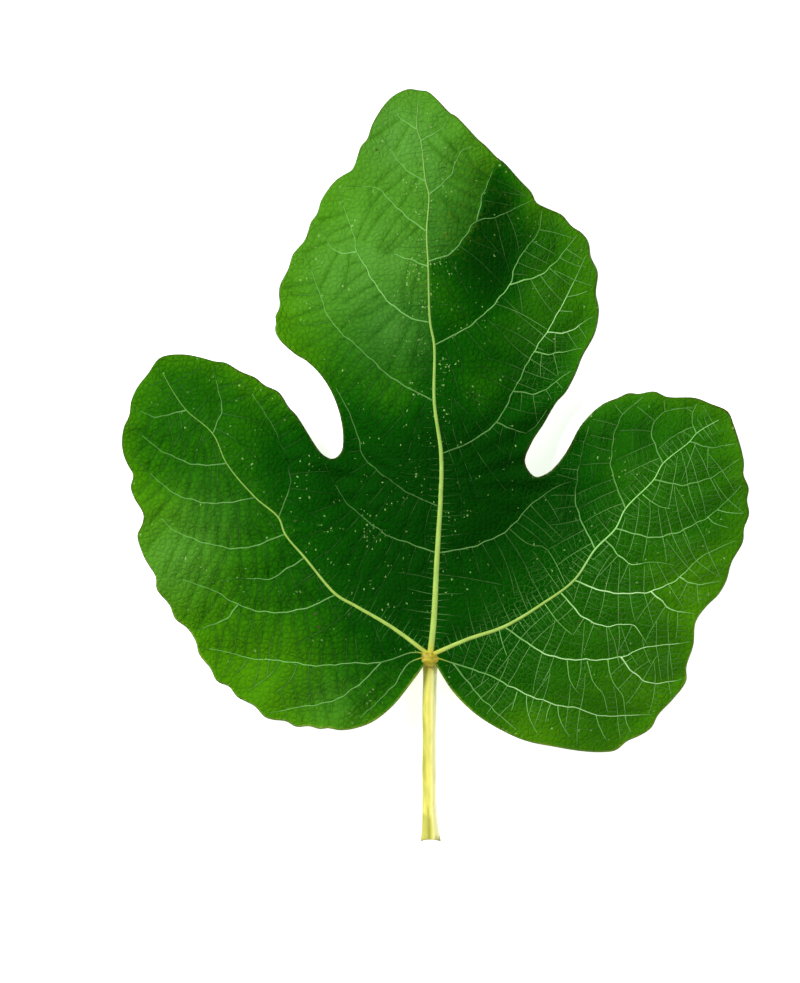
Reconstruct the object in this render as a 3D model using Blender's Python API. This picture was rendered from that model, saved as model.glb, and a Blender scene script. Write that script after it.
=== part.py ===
"""A three-lobed fig leaf, picked with its stalk and lying face up.

Two bodies: the green blade, a thin waved sheet with a scalloped and lobed edge, and
the pale stalk with the ribs that branch from it and carry the blade from below.
Outlines and ribs are in millimetres, from the hub where the stalk meets the blade,
with +Y to the tip of the middle lobe and +Z up. At the end everything moves so that
the origin is the middle of the leaf's box, on the surface that the leaf lies on.
"""

import bmesh
import bpy
import numpy as np
from mathutils import Matrix, Vector
from mathutils.geometry import delaunay_2d_cdt

MM = 0.001

# Driving dimensions, in millimetres
BLADE_THICKNESS = 0.7
BLADE_REACH = 150.0
HUB_HEIGHT = 10.0
RIB_ARCH = 2.4
RIB_DROOP = 7.6
ROOF_SLOPE = 0.05
ROOF_CURVE = 0.004
CREASE_BLEND = 4.0
QUILT_HEIGHT = 0.9
QUILT_WIDTH = 3.5
EDGE_WAVE = 0.9
EDGE_WAVES = 22
EDGE_WAVE_REACH = 9.0
HUB_CALM = 18.0
BLADE_MIDDLE = (0.0, 45.0)
FOLD_HEIGHT = 1.8
FOLD_GENTLE = 20.0
FOLD_STEEP = 9.0
RIDGE_HEIGHT = 0.5
RIDGE_HALF_WIDTH = 1.3
RIB_GAP = 0.45
STALK_RADIUS = 1.85
STALK_FOOT_RADIUS = 2.7
STALK_RISE_POWER = 1.6
HUB_RADIUS = 2.2
HUB_STRETCH = 1.15
HUB_CENTRE_DEPTH = 2.0
HUB_NOTCH_RADIUS = 2.75
RIB_START_DEPTH = 2.6
RIB_FLOOR_CLEARANCE = 0.1

# How finely each line is followed, in millimetres
EDGE_STEP = 2.1
RIB_STEP = 5.0
LATTICE_STEP = 5.0
CLEAR_OF_LINES = 2.0
CLEAR_OF_NOTCH = 1.5
SLOPE_STEP = 0.5
CURVE_SAMPLES = 24

# The blade's edge, clockwise seen from above, from the stalk round the left lobe
LEFT_LOBE_LOWER = [
    (-5.5, -8.0), (-10.0, -13.5), (-15.3, -17.7), (-20.5, -19.5), (-24.0, -19.8), (-27.0, -19.3),
    (-29.0, -19.6), (-32.0, -18.9), (-35.5, -19.1), (-38.0, -17.7), (-41.5, -17.3), (-43.8, -16.6),
    (-46.5, -13.7), (-51.2, -11.3), (-53.3, -8.6), (-56.6, -7.1), (-58.2, -3.9), (-61.3, 0.0),
    (-62.2, 3.5), (-64.5, 7.0), (-67.6, 9.4), (-69.0, 13.0), (-72.4, 17.4), (-72.6, 20.6),
]
LEFT_LOBE_OUTER = [
    (-75.2, 24.8), (-76.8, 28.5), (-77.5, 31.8), (-76.2, 34.5), (-75.8, 37.2), (-78.2, 41.5),
    (-79.2, 44.5), (-78.5, 47.5), (-80.0, 50.3), (-81.1, 53.0), (-81.5, 56.3), (-80.9, 60.3),
    (-79.5, 63.3), (-79.0, 67.0), (-77.5, 70.6), (-74.5, 74.5), (-71.3, 78.6), (-65.5, 79.5),
    (-60.2, 78.6), (-57.0, 77.7), (-54.0, 77.3), (-50.0, 75.0), (-46.0, 73.3), (-43.7, 71.4),
    (-39.9, 69.5), (-37.2, 65.5), (-35.2, 63.3), (-29.8, 54.8),
]
LEFT_SINUS = [
    (-28.0, 52.8), (-25.5, 51.9), (-23.4, 54.0), (-23.1, 59.0), (-24.6, 66.0), (-28.0, 72.8),
    (-32.6, 77.7), (-35.5, 79.4), (-40.0, 83.6), (-41.1, 86.2),
]
MIDDLE_LOBE_LEFT = [
    (-40.8, 87.9), (-41.0, 89.7), (-40.0, 92.0), (-40.0, 97.5), (-37.6, 102.5), (-36.4, 106.2),
    (-33.2, 110.0), (-31.6, 114.7), (-30.0, 117.0), (-28.8, 120.7), (-25.3, 125.5), (-23.2, 127.0),
    (-20.6, 128.6), (-18.3, 134.7), (-16.7, 136.6), (-15.4, 140.4), (-12.3, 145.6), (-9.5, 148.4),
    (-5.5, 150.1), (-3.0, 149.7), (-0.5, 149.3),
]
MIDDLE_LOBE_RIGHT = [
    (5.6, 143.3), (6.6, 142.9), (13.1, 136.2), (14.2, 135.4), (18.1, 131.5), (19.4, 130.7),
    (23.9, 125.7), (26.9, 122.6), (28.3, 119.8), (31.8, 118.2), (35.0, 116.8), (37.7, 113.7),
    (40.2, 112.1), (42.1, 109.6), (42.8, 105.5), (44.6, 101.5), (44.1, 96.0), (44.9, 91.5),
    (43.9, 85.5), (40.3, 78.8), (38.5, 74.3), (35.8, 69.3), (33.6, 67.0),
]
RIGHT_SINUS = [
    (30.0, 61.0), (26.8, 56.0), (25.1, 51.0), (27.7, 47.2), (31.5, 48.5), (35.8, 53.5),
    (40.0, 61.0),
]
RIGHT_LOBE_OUTER = [
    (45.5, 66.3), (49.5, 68.0), (52.5, 69.3), (55.0, 69.1), (59.2, 69.7), (62.5, 68.3),
    (70.0, 68.0), (74.0, 66.5), (78.7, 64.4), (80.2, 61.0), (82.9, 51.0), (82.8, 47.7),
    (84.3, 44.0), (83.9, 41.0), (84.5, 37.3), (83.1, 33.5), (82.8, 30.0), (79.8, 24.5),
    (78.5, 19.5), (76.5, 16.0), (73.0, 12.6), (70.3, 8.6), (69.8, 2.5), (68.1, -3.2),
    (68.1, -7.0), (64.5, -12.0), (60.7, -16.0), (58.8, -19.5),
]
RIGHT_LOBE_LOWER = [
    (55.5, -21.7), (52.5, -23.0), (49.3, -25.5), (45.5, -25.9), (40.0, -25.5), (33.0, -24.3),
    (26.0, -22.9), (20.5, -20.7), (12.0, -15.5), (6.2, -9.8),
]

# The main ribs, from the hub out: half their thickness at the hub and at the tip, then the route
MIDRIB = (1.5, 0.45, [
    (0.0, 0.0), (0.9, 8.0), (1.9, 27.0), (2.8, 42.0), (2.9, 53.2), (1.1, 67.0), (1.1, 81.8),
    (0.0, 88.0), (-0.5, 103.0), (-0.9, 111.7), (-0.3, 121.7), (-1.2, 125.3), (-2.4, 136.0),
    (-3.4, 139.2), (-3.1, 147.0),
])
LEFT_RIB = (1.3, 0.4, [
    (0.0, 0.0), (-10.0, 7.4), (-19.7, 13.1), (-24.8, 16.1), (-33.0, 25.8), (-38.2, 32.0),
    (-39.9, 36.3), (-46.0, 41.6), (-53.6, 50.6), (-57.3, 58.5), (-64.3, 64.7), (-68.2, 70.2),
    (-70.6, 74.6),
])
RIGHT_RIB = (1.3, 0.4, [
    (0.0, 0.0), (10.0, 4.3), (19.5, 7.6), (30.0, 13.9), (38.0, 19.9), (43.5, 28.0),
    (48.9, 33.5), (51.5, 38.7), (59.0, 46.4), (61.4, 50.6), (68.5, 56.4), (70.3, 58.6),
    (76.3, 62.2),
])
MAIN_RIBS = [MIDRIB, LEFT_RIB, RIGHT_RIB]

# The side ribs, each from the rib that it leaves, or from the hub, out to near the edge
BASAL_RIBS = [
    [(0.0, 0.0), (-4.0, 0.9), (-12.8, -1.8), (-22.0, -2.1), (-29.5, -2.8), (-39.7, -1.5),
     (-48.2, -0.9), (-53.0, 0.5), (-58.5, 1.5)],
    [(-12.8, -1.8), (-18.5, -7.5), (-25.8, -12.1), (-34.5, -13.8), (-40.0, -15.0)],
    [(0.0, 0.0), (-5.5, -2.0), (-9.5, -7.8), (-15.5, -13.8), (-18.5, -16.5)],
    [(0.0, 0.0), (6.0, -2.0), (15.0, -5.0), (25.5, -10.3), (33.8, -13.2), (40.0, -14.3),
     (44.0, -16.0), (51.5, -16.2), (56.3, -16.0)],
    [(6.0, -2.0), (13.5, -11.2), (19.5, -16.8), (21.5, -18.6)],
]
MIDDLE_LOBE_RIBS_LEFT = [
    [(1.9, 27.0), (-5.0, 29.4), (-11.8, 32.0), (-17.2, 36.1), (-22.0, 40.3), (-25.0, 45.0)],
    [(2.6, 39.2), (-5.7, 42.9), (-13.1, 48.2), (-17.3, 52.0), (-19.4, 59.0), (-21.8, 65.0),
     (-24.8, 70.5)],
    [(1.1, 67.0), (-10.0, 73.2), (-17.5, 80.0), (-26.3, 88.5), (-29.3, 96.0), (-31.5, 102.0)],
    [(0.0, 87.8), (-5.0, 89.0), (-12.0, 94.5), (-17.0, 102.5), (-19.3, 106.5), (-20.2, 111.0),
     (-23.0, 119.0)],
    [(-19.3, 106.5), (-25.0, 106.8), (-28.3, 111.5)],
    [(-0.5, 102.6), (-4.5, 104.1), (-9.5, 106.0)],
    [(-0.9, 111.8), (-8.0, 117.5), (-14.0, 123.5), (-18.0, 124.0)],
    [(-1.2, 125.2), (-7.0, 129.0), (-10.5, 134.0)],
    [(-3.4, 139.2), (-8.0, 142.3), (-9.0, 144.5)],
]
MIDDLE_LOBE_RIBS_RIGHT = [
    [(1.9, 27.0), (12.2, 29.0), (21.0, 33.5), (25.8, 39.0), (31.0, 43.0)],
    [(2.9, 53.2), (10.0, 56.0), (17.5, 61.5), (22.0, 69.7), (27.5, 80.3), (31.0, 85.5),
     (36.2, 94.8), (39.2, 101.0)],
    [(22.0, 69.7), (29.0, 69.4), (34.8, 73.5)],
    [(27.5, 80.3), (31.5, 79.6), (37.0, 80.6)],
    [(31.0, 85.5), (36.0, 85.3), (40.5, 88.0)],
    [(17.5, 61.5), (21.0, 60.0), (25.5, 58.6)],
    [(1.1, 81.8), (11.5, 87.7), (21.0, 97.9), (23.0, 104.0), (29.0, 112.5), (29.4, 115.0)],
    [(21.0, 97.9), (30.3, 101.3), (37.3, 109.0)],
    [(-0.5, 103.9), (6.0, 106.5), (12.3, 114.6), (18.0, 116.0), (23.0, 118.5)],
    [(12.3, 114.6), (14.0, 121.5), (16.5, 128.0)],
    [(-0.3, 121.7), (4.7, 126.0), (8.8, 133.7), (11.5, 134.5)],
    [(-2.4, 136.0), (3.0, 139.3), (4.2, 140.7)],
]
LEFT_LOBE_RIBS = [
    [(-24.8, 16.1), (-33.0, 12.4), (-42.5, 11.3), (-50.7, 13.3), (-56.5, 16.7), (-65.5, 20.0)],
    [(-50.7, 13.3), (-54.0, 9.6), (-60.3, 6.9)],
    [(-33.0, 25.8), (-39.0, 22.0), (-41.8, 20.3), (-48.5, 20.3)],
    [(-38.2, 32.0), (-49.0, 28.3), (-57.5, 29.2), (-68.0, 33.2), (-71.0, 36.2)],
    [(-46.0, 41.6), (-57.0, 40.1), (-67.0, 42.5), (-74.0, 48.0)],
    [(-53.6, 50.6), (-61.5, 50.3), (-71.0, 54.1), (-76.0, 58.0)],
    [(-64.3, 64.7), (-72.5, 63.0), (-76.5, 64.4)],
    [(-39.9, 36.3), (-36.8, 46.5), (-41.0, 59.5), (-47.0, 69.0)],
    [(-57.3, 58.5), (-55.0, 65.0), (-56.5, 72.7)],
]
RIGHT_LOBE_RIBS = [
    [(19.5, 7.6), (31.5, 0.0), (41.5, -1.2), (50.5, -0.5), (56.5, 1.9), (66.0, 3.0)],
    [(50.5, -0.5), (54.0, -4.9), (59.0, -7.6), (65.0, -7.0)],
    [(34.5, 16.5), (41.0, 9.7), (46.0, 7.8), (53.7, 8.0), (55.8, 5.4)],
    [(38.0, 19.9), (46.5, 16.8), (58.3, 16.9), (66.0, 20.6), (71.0, 25.5), (76.5, 28.4)],
    [(66.0, 20.6), (70.5, 18.6), (75.0, 19.2)],
    [(58.3, 16.9), (64.0, 12.0), (67.5, 11.3)],
    [(46.0, 30.6), (53.0, 24.0), (56.0, 24.3)],
    [(48.9, 33.5), (60.0, 31.2), (73.5, 36.6), (80.0, 42.3)],
    [(59.0, 46.4), (67.0, 45.0), (75.0, 47.4), (80.0, 50.7)],
    [(68.5, 56.4), (74.0, 54.9), (78.0, 55.4)],
    [(43.5, 28.0), (38.5, 40.0), (40.0, 53.0), (42.0, 60.5)],
    [(51.5, 38.7), (47.8, 50.0), (50.3, 62.8), (54.0, 66.3)],
    [(61.4, 50.6), (58.5, 59.0), (61.0, 63.8), (63.5, 64.7)],
    [(70.3, 58.6), (69.0, 62.5), (69.8, 65.0)],
]
SIDE_RIBS = (
    BASAL_RIBS + MIDDLE_LOBE_RIBS_LEFT + MIDDLE_LOBE_RIBS_RIGHT + LEFT_LOBE_RIBS + RIGHT_LOBE_RIBS
)
SIDE_RIB_RADII = (0.6, 0.35)

# A crest in the middle lobe, right of the midrib, where the blade turns down to the right
FOLD_LINE = [(-0.5, 103.9), (6.0, 106.5), (12.3, 114.6), (14.0, 121.5), (17.5, 130.5)]

# Where the edge bends down to rest: the place, how much lower it comes, and how far the bend reaches
REST_SPOTS = [
    ((-57.0, -6.5), 4.8, 20.0), ((62.0, -15.0), 2.6, 18.0), ((-40.0, 97.0), 1.8, 11.0),
    ((44.0, 99.0), 0.8, 9.0),
]

# The stalk's middle line from its cut foot up to the hub, with half its thickness at each point
STALK_FOOT_Y = -49.4
STALK = [
    ((0.2, STALK_FOOT_Y), STALK_FOOT_RADIUS), ((0.1, -46.5), 2.2), ((-0.1, -42.0), 1.9),
    ((-0.2, -30.0), STALK_RADIUS), ((-0.2, -15.0), STALK_RADIUS), ((-0.1, -6.0), STALK_RADIUS),
    ((0.0, -2.0), 2.0),
]
FOOT_DISH_RADIUS = 3.6
FOOT_DISH_DEPTH = 0.9

BLADE_COLOUR = (0.025, 0.13, 0.006, 1.0)
STALK_COLOUR = (0.8, 0.78, 0.2, 1.0)
SMOOTH_ANGLE = 45.0


# Curves through points


def smooth_line(points, step):
    """Evenly spaced points along the centripetal Catmull-Rom curve through the given points."""
    p = np.array(points, float)
    p = np.vstack([2 * p[0] - p[1], p, 2 * p[-1] - p[-2]])
    width = np.sqrt(np.linalg.norm(np.diff(p, axis=0), axis=1))[:, None]
    slope = np.diff(p, axis=0) / width
    tangent = (slope[:-1] * width[1:] + slope[1:] * width[:-1]) / (width[:-1] + width[1:])
    u = np.linspace(0.0, 1.0, CURVE_SAMPLES, endpoint=False)[None, :, None]
    leaving = tangent[:-1, None] * width[1:-1, None]
    arriving = tangent[1:, None] * width[1:-1, None]
    dense = (
        p[1:-2, None] * (2 * u**3 - 3 * u**2 + 1)
        + p[2:-1, None] * (3 * u**2 - 2 * u**3)
        + leaving * (u**3 - 2 * u**2 + u)
        + arriving * (u**3 - u**2)
    )
    dense = np.vstack([dense.reshape(-1, 2), p[-2]])
    travelled = np.concatenate([[0.0], np.cumsum(np.linalg.norm(np.diff(dense, axis=0), axis=1))])
    wanted = np.linspace(0.0, travelled[-1], max(2, round(travelled[-1] / step) + 1))
    return np.column_stack([np.interp(wanted, travelled, dense[:, axis]) for axis in (0, 1)])


def distance_to_line(points, line):
    """Distance from each point to the nearest place on a line of straight pieces."""
    start, run = line[:-1], np.diff(line, axis=0)
    offset = points[:, None, :] - start[None]
    share = np.clip((offset * run).sum(2) / (run * run).sum(1), 0.0, 1.0)
    return np.linalg.norm(offset - share[..., None] * run, axis=2).min(1)


def inside(points, outline):
    """Whether each point lies inside the closed outline, by counting the edges it faces."""
    ends = np.roll(outline, -1, axis=0)
    x, y = points[:, 0, None], points[:, 1, None]
    spans = (outline[:, 1] > y) != (ends[:, 1] > y)
    rise = np.where(ends[:, 1] == outline[:, 1], 1.0, ends[:, 1] - outline[:, 1])
    crossing = outline[:, 0] + (y - outline[:, 1]) / rise * (ends[:, 0] - outline[:, 0])
    return (spans & (x < crossing)).sum(1) % 2 == 1


def hub_notch():
    """The small round notch at the blade's base that the hub fills, from right to left."""
    angles = np.radians(np.linspace(-60.0, 240.0, 9))
    return HUB_NOTCH_RADIUS * np.column_stack([np.cos(angles), np.sin(angles)])


def blade_outline():
    around = (
        LEFT_LOBE_LOWER + LEFT_LOBE_OUTER + LEFT_SINUS + MIDDLE_LOBE_LEFT
        + MIDDLE_LOBE_RIGHT + RIGHT_SINUS + RIGHT_LOBE_OUTER + RIGHT_LOBE_LOWER
    )
    notch = hub_notch()
    edge = smooth_line([notch[-1], *around, notch[0]], EDGE_STEP)
    return np.vstack([edge, notch[1:-1]])


# The blade's heights, in millimetres above the surface it lies on

OUTLINE = blade_outline()
MAIN_LINES = [smooth_line(route, RIB_STEP) for _, _, route in MAIN_RIBS]
SIDE_LINES = [smooth_line(route, RIB_STEP) for route in SIDE_RIBS]
FOLD = smooth_line(FOLD_LINE, RIB_STEP)


def roof_droop(points):
    """How far the blade has come down at some distance from the nearest main rib."""
    distances = np.column_stack([distance_to_line(points, line) for line in MAIN_LINES])
    nearest = -CREASE_BLEND * np.log(np.exp(-distances / CREASE_BLEND).sum(1))
    nearest = np.maximum(nearest, 0.0)
    return ROOF_SLOPE * nearest + ROOF_CURVE * nearest**2


def fold_rise(points):
    """A crest along the fold line: gentle on its left and steep on its right."""
    nearest = distance_to_line(points, FOLD)
    across = points[:, 0] - np.interp(points[:, 1], FOLD[:, 1], FOLD[:, 0])
    side = np.clip(across / np.maximum(nearest, 0.01), -1.0, 1.0)
    reach = (FOLD_STEEP + FOLD_GENTLE + side * (FOLD_STEEP - FOLD_GENTLE)) / 2
    return FOLD_HEIGHT * np.exp(-((nearest / reach) ** 2))


def edge_wave(points):
    """Shallow waves that fade from the edge inwards, and near the hub."""
    out = points - BLADE_MIDDLE
    around = np.arctan2(out[:, 1], out[:, 0])
    fade = np.exp(-distance_to_line(points, np.vstack([OUTLINE, OUTLINE[:1]])) / EDGE_WAVE_REACH)
    fade = fade * (1.0 - np.exp(-((np.linalg.norm(points, axis=1) / HUB_CALM) ** 2)))
    return EDGE_WAVE * np.sin(EDGE_WAVES * around) * fade


def rest_dip(points):
    """How far the blade bends down towards the places on its edge that it rests on."""
    dip = np.zeros(len(points))
    for place, depth, reach in REST_SPOTS:
        dip += depth * np.exp(-((np.linalg.norm(points - place, axis=1) / reach) ** 2))
    return dip


def quilting(points):
    """The blade bulges between its ribs and stays low along them."""
    nearest = np.min([distance_to_line(points, line) for line in MAIN_LINES + SIDE_LINES], axis=0)
    return QUILT_HEIGHT * (1.0 - np.exp(-((nearest / QUILT_WIDTH) ** 2)))


def main_ridge(points):
    """A narrow ridge on top of each main rib, thinner towards its tip."""
    height = np.zeros(len(points))
    for line in MAIN_LINES:
        share = np.clip(np.linalg.norm(points, axis=1) / np.linalg.norm(line[-1]), 0.0, 1.0)
        across = distance_to_line(points, line) / (RIDGE_HALF_WIDTH * (1.0 - 0.4 * share))
        height = np.maximum(height, RIDGE_HEIGHT * (1.0 - 0.5 * share) * np.clip(1 - across, 0, 1))
    return height


def underside(points):
    """Height of the blade's lower face. Where it would sink, it is pressed flat at zero."""
    points = np.atleast_2d(points)
    reach = np.linalg.norm(points, axis=1) / BLADE_REACH
    height = HUB_HEIGHT - BLADE_THICKNESS
    height = height + RIB_ARCH * np.sin(np.pi * np.clip(reach, 0, 1)) - RIB_DROOP * reach**2
    height = height - roof_droop(points) - rest_dip(points) + fold_rise(points)
    height = height + edge_wave(points) + quilting(points) + main_ridge(points)
    return np.maximum(height, 0.0)


# The blade


def lattice_points():
    """Points on a triangular lattice inside the edge, clear of the edge and of every rib."""
    low, high = OUTLINE.min(0), OUTLINE.max(0)
    rows = np.arange(low[1], high[1], LATTICE_STEP * np.sqrt(0.75))
    columns = np.arange(low[0], high[0], LATTICE_STEP)
    x, y = np.meshgrid(columns, rows)
    x = x + np.where(np.arange(len(rows)) % 2, LATTICE_STEP / 2, 0.0)[:, None]
    points = np.column_stack([x.ravel(), y.ravel()])
    points = points[inside(points, OUTLINE)]
    lines = [np.vstack([OUTLINE, OUTLINE[:1]]), *MAIN_LINES, *SIDE_LINES]
    nearest = np.min([distance_to_line(points, line) for line in lines], axis=0)
    return points[nearest > CLEAR_OF_LINES]


def beside(line, half_width):
    """The two lines that run along each side of a line, half_width away."""
    along = np.gradient(line, axis=0)
    across = np.column_stack([-along[:, 1], along[:, 0]])
    across = across / np.linalg.norm(across, axis=1)[:, None]
    return [line + half_width * across, line - half_width * across]


def blade_lines():
    """The lines that the blade's triangles follow: the ribs, and each side of the main ridges."""
    ridges = [side for line in MAIN_LINES for side in beside(line[1:-1], RIDGE_HALF_WIDTH)]
    lines = []
    for line in MAIN_LINES + SIDE_LINES + ridges:
        kept = line[np.linalg.norm(line, axis=1) > HUB_NOTCH_RADIUS + CLEAR_OF_NOTCH]
        lines.append(kept)
    return lines


def blade_sheet():
    """The blade's lower face as triangles: corner positions in millimetres, and faces."""
    corners, edges = [*OUTLINE], []
    edges += [(i, (i + 1) % len(OUTLINE)) for i in range(len(OUTLINE))]
    for line in blade_lines():
        edges += [(len(corners) + i, len(corners) + i + 1) for i in range(len(line) - 1)]
        corners += [*line]
    corners += [*lattice_points()]
    made = delaunay_2d_cdt([Vector(c) for c in corners], edges, [], 1, 0.3)
    flat = np.array([tuple(v) for v in made[0]])
    return np.column_stack([flat, underside(flat)]), made[2]


def make_blade(collection):
    corners, faces = blade_sheet()
    mesh = bpy.data.meshes.new("leaf_blade")
    mesh.from_pydata(corners * MM, [], faces)
    shape = bmesh.new()
    shape.from_mesh(mesh)
    bmesh.ops.recalc_face_normals(shape, faces=shape.faces)
    top = bmesh.ops.extrude_face_region(shape, geom=shape.faces[:])["geom"]
    top = [item for item in top if isinstance(item, bmesh.types.BMVert)]
    bmesh.ops.translate(shape, verts=top, vec=(0.0, 0.0, BLADE_THICKNESS * MM))
    bmesh.ops.recalc_face_normals(shape, faces=shape.faces)
    shape.to_mesh(mesh)
    shape.free()
    blade = bpy.data.objects.new("leaf_blade", mesh)
    collection.objects.link(blade)
    finish(blade, make_material("leaf_green", BLADE_COLOUR, 0.5))
    return blade


# The stalk and its ribs


def under_blade(line, radii):
    """A rib's middle line in space, just under the blade, up to where the blade comes too low."""
    height = underside(line)
    east, north = np.array([SLOPE_STEP, 0.0]), np.array([0.0, SLOPE_STEP])
    slope_x = (underside(line + east) - underside(line - east)) / (2 * SLOPE_STEP)
    slope_y = (underside(line + north) - underside(line - north)) / (2 * SLOPE_STEP)
    up = np.column_stack([-slope_x, -slope_y, np.ones(len(line))])
    up = up / np.linalg.norm(up, axis=1)[:, None]
    middle = np.column_stack([line, height]) - up * (RIB_GAP + radii)[:, None]
    low = np.nonzero(middle[:, 2] < radii + RIB_FLOOR_CLEARANCE)[0]
    end = low[0] if len(low) else len(line)
    return middle[:end], radii[:end]


def make_tube(name, middle, radii, collection, sides):
    """A tapered round rod with flat ends, along the points of its middle line."""
    curve = bpy.data.curves.new(name, "CURVE")
    curve.dimensions = "3D"
    curve.bevel_depth = MM
    curve.bevel_resolution = (sides - 4) // 2
    curve.use_fill_caps = True
    spline = curve.splines.new("POLY")
    spline.points.add(len(middle) - 1)
    for point, place, radius in zip(spline.points, middle, radii):
        point.co = (*(place * MM), 1.0)
        point.radius = radius
    guide = bpy.data.objects.new(name, curve)
    collection.objects.link(guide)
    mesh = bpy.data.meshes.new_from_object(
        guide.evaluated_get(bpy.context.evaluated_depsgraph_get())
    )
    bpy.data.objects.remove(guide)
    shape = bmesh.new()
    shape.from_mesh(mesh)
    bmesh.ops.remove_doubles(shape, verts=shape.verts, dist=0.00001)
    bmesh.ops.recalc_face_normals(shape, faces=shape.faces)
    shape.to_mesh(mesh)
    shape.free()
    tube = bpy.data.objects.new(name, mesh)
    collection.objects.link(tube)
    return tube


def stalk_middle():
    """The stalk lies on its foot and rises in an even curve to the hub."""
    route = np.array([place for place, _ in STALK])
    radii = np.array([radius for _, radius in STALK])
    share = (route[:, 1] - STALK_FOOT_Y) / -STALK_FOOT_Y
    rise = HUB_HEIGHT - RIB_START_DEPTH - STALK_FOOT_RADIUS
    height = STALK_FOOT_RADIUS + rise * share**STALK_RISE_POWER
    return np.column_stack([route, height]), radii


def make_hub(collection):
    """The rounded knot where the stalk and the ribs meet, standing in the blade's notch."""
    mesh = bpy.data.meshes.new("hub")
    shape = bmesh.new()
    bmesh.ops.create_uvsphere(shape, u_segments=14, v_segments=8, radius=HUB_RADIUS * MM)
    bmesh.ops.scale(shape, vec=(1.0, 1.0, HUB_STRETCH), verts=shape.verts)
    centre = (0.0, 0.0, (HUB_HEIGHT - HUB_CENTRE_DEPTH) * MM)
    bmesh.ops.translate(shape, vec=centre, verts=shape.verts)
    shape.to_mesh(mesh)
    shape.free()
    hub = bpy.data.objects.new("hub", mesh)
    collection.objects.link(hub)


def make_foot_dish(collection):
    """A ball that hollows the stalk's cut foot."""
    mesh = bpy.data.meshes.new("foot_dish")
    shape = bmesh.new()
    bmesh.ops.create_uvsphere(shape, u_segments=18, v_segments=12, radius=FOOT_DISH_RADIUS * MM)
    shape.to_mesh(mesh)
    shape.free()
    ball = bpy.data.objects.new("foot_dish", mesh)
    (foot_x, foot_y), foot_radius = STALK[0]
    centre = Vector((foot_x, foot_y - FOOT_DISH_RADIUS + FOOT_DISH_DEPTH, foot_radius))
    ball.location = centre * MM
    ball.hide_render = True
    ball.display_type = "WIRE"
    collection.objects.link(ball)
    return ball


def make_ribs(collection):
    """Every rib as a tapered rod. A side rib starts in the middle of the rib that it leaves."""
    spines = []
    for number, (line, rib) in enumerate(zip(MAIN_LINES, MAIN_RIBS)):
        radii = np.linspace(rib[0], rib[1], len(line))
        middle, radii = under_blade(line, radii)
        middle[0] = (0.0, 0.0, HUB_HEIGHT - RIB_START_DEPTH)
        spines.append(middle)
        make_tube(f"main_rib_{number}", middle, radii, collection, 8)
    for number, line in enumerate(SIDE_LINES):
        radii = np.linspace(*SIDE_RIB_RADII, len(line))
        middle, radii = under_blade(line, radii)
        if len(middle) < 2:
            continue
        roots = np.vstack(spines)
        root = roots[np.argmin(np.linalg.norm(roots[:, :2] - line[0], axis=1))]
        middle[0, 2] = min(root[2], middle[0, 2])
        spines.append(middle)
        make_tube(f"side_rib_{number}", middle, radii, collection, 6)


def make_stalk(collection, joined, cutters):
    """The stalk, with its hub and every rib joined to it in one solid."""
    middle, radii = stalk_middle()
    stalk = make_tube("leaf_stalk_and_ribs", middle, radii, collection, 12)
    make_hub(joined)
    make_ribs(joined)
    dish = stalk.modifiers.new("foot dish", "BOOLEAN")
    dish.operation = "DIFFERENCE"
    dish.object = make_foot_dish(cutters)
    join = stalk.modifiers.new("ribs and hub", "BOOLEAN")
    join.operation = "UNION"
    join.operand_type = "COLLECTION"
    join.collection = joined
    apply_modifiers(stalk)
    for rod in list(joined.objects):
        bpy.data.objects.remove(rod)
    finish(stalk, make_material("stalk_pale_green", STALK_COLOUR, 0.45))
    return stalk


# Shared helpers


def make_material(name, colour, roughness):
    material = bpy.data.materials.new(name)
    material.use_nodes = True
    shader = material.node_tree.nodes["Principled BSDF"]
    shader.inputs["Base Color"].default_value = colour
    shader.inputs["Roughness"].default_value = roughness
    shader.inputs["Metallic"].default_value = 0.0
    material.diffuse_color = colour
    return material


def apply_modifiers(obj):
    graph = bpy.context.evaluated_depsgraph_get()
    mesh = bpy.data.meshes.new_from_object(obj.evaluated_get(graph))
    obj.modifiers.clear()
    obj.data = mesh


def finish(obj, material):
    obj.data.materials.append(material)
    obj.data.shade_smooth()
    obj.data.set_sharp_from_angle(angle=np.radians(SMOOTH_ANGLE))


def new_collection(name):
    collection = bpy.data.collections.new(name)
    bpy.context.scene.collection.children.link(collection)
    return collection


def centre_on_origin(objects):
    """Moves the leaf so that the middle of its box is over the origin."""
    corners = np.array([v.co for obj in objects for v in obj.data.vertices])
    low, high = corners.min(0), corners.max(0)
    shift = Matrix.Translation((-(low[0] + high[0]) / 2, -(low[1] + high[1]) / 2, -low[2]))
    for obj in objects:
        obj.data.transform(shift)


def main():
    for obj in list(bpy.data.objects):
        bpy.data.objects.remove(obj)
    leaf = new_collection("fig_leaf")
    joined = new_collection("joined")
    cutters = new_collection("cutters")
    blade = make_blade(leaf)
    stalk = make_stalk(leaf, joined, cutters)
    bpy.data.collections.remove(joined)
    centre_on_origin([blade, stalk])


main()
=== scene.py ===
"""The finished look of a three-lobed fig leaf that lies face up with its cut stalk.

The blade is one closed, waved skin with a toothed edge. Ribs and side ribs stand out under it as
rods and show on top as pale bands, and fine veins run between them like the rungs of a ladder.
Points are in millimetres from the hub, where the stalk meets the blade, with +Y to the tip of the
middle lobe and +Z up. The hub's place in the finished part is found from the corners of the plain model's
blade.
"""

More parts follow.
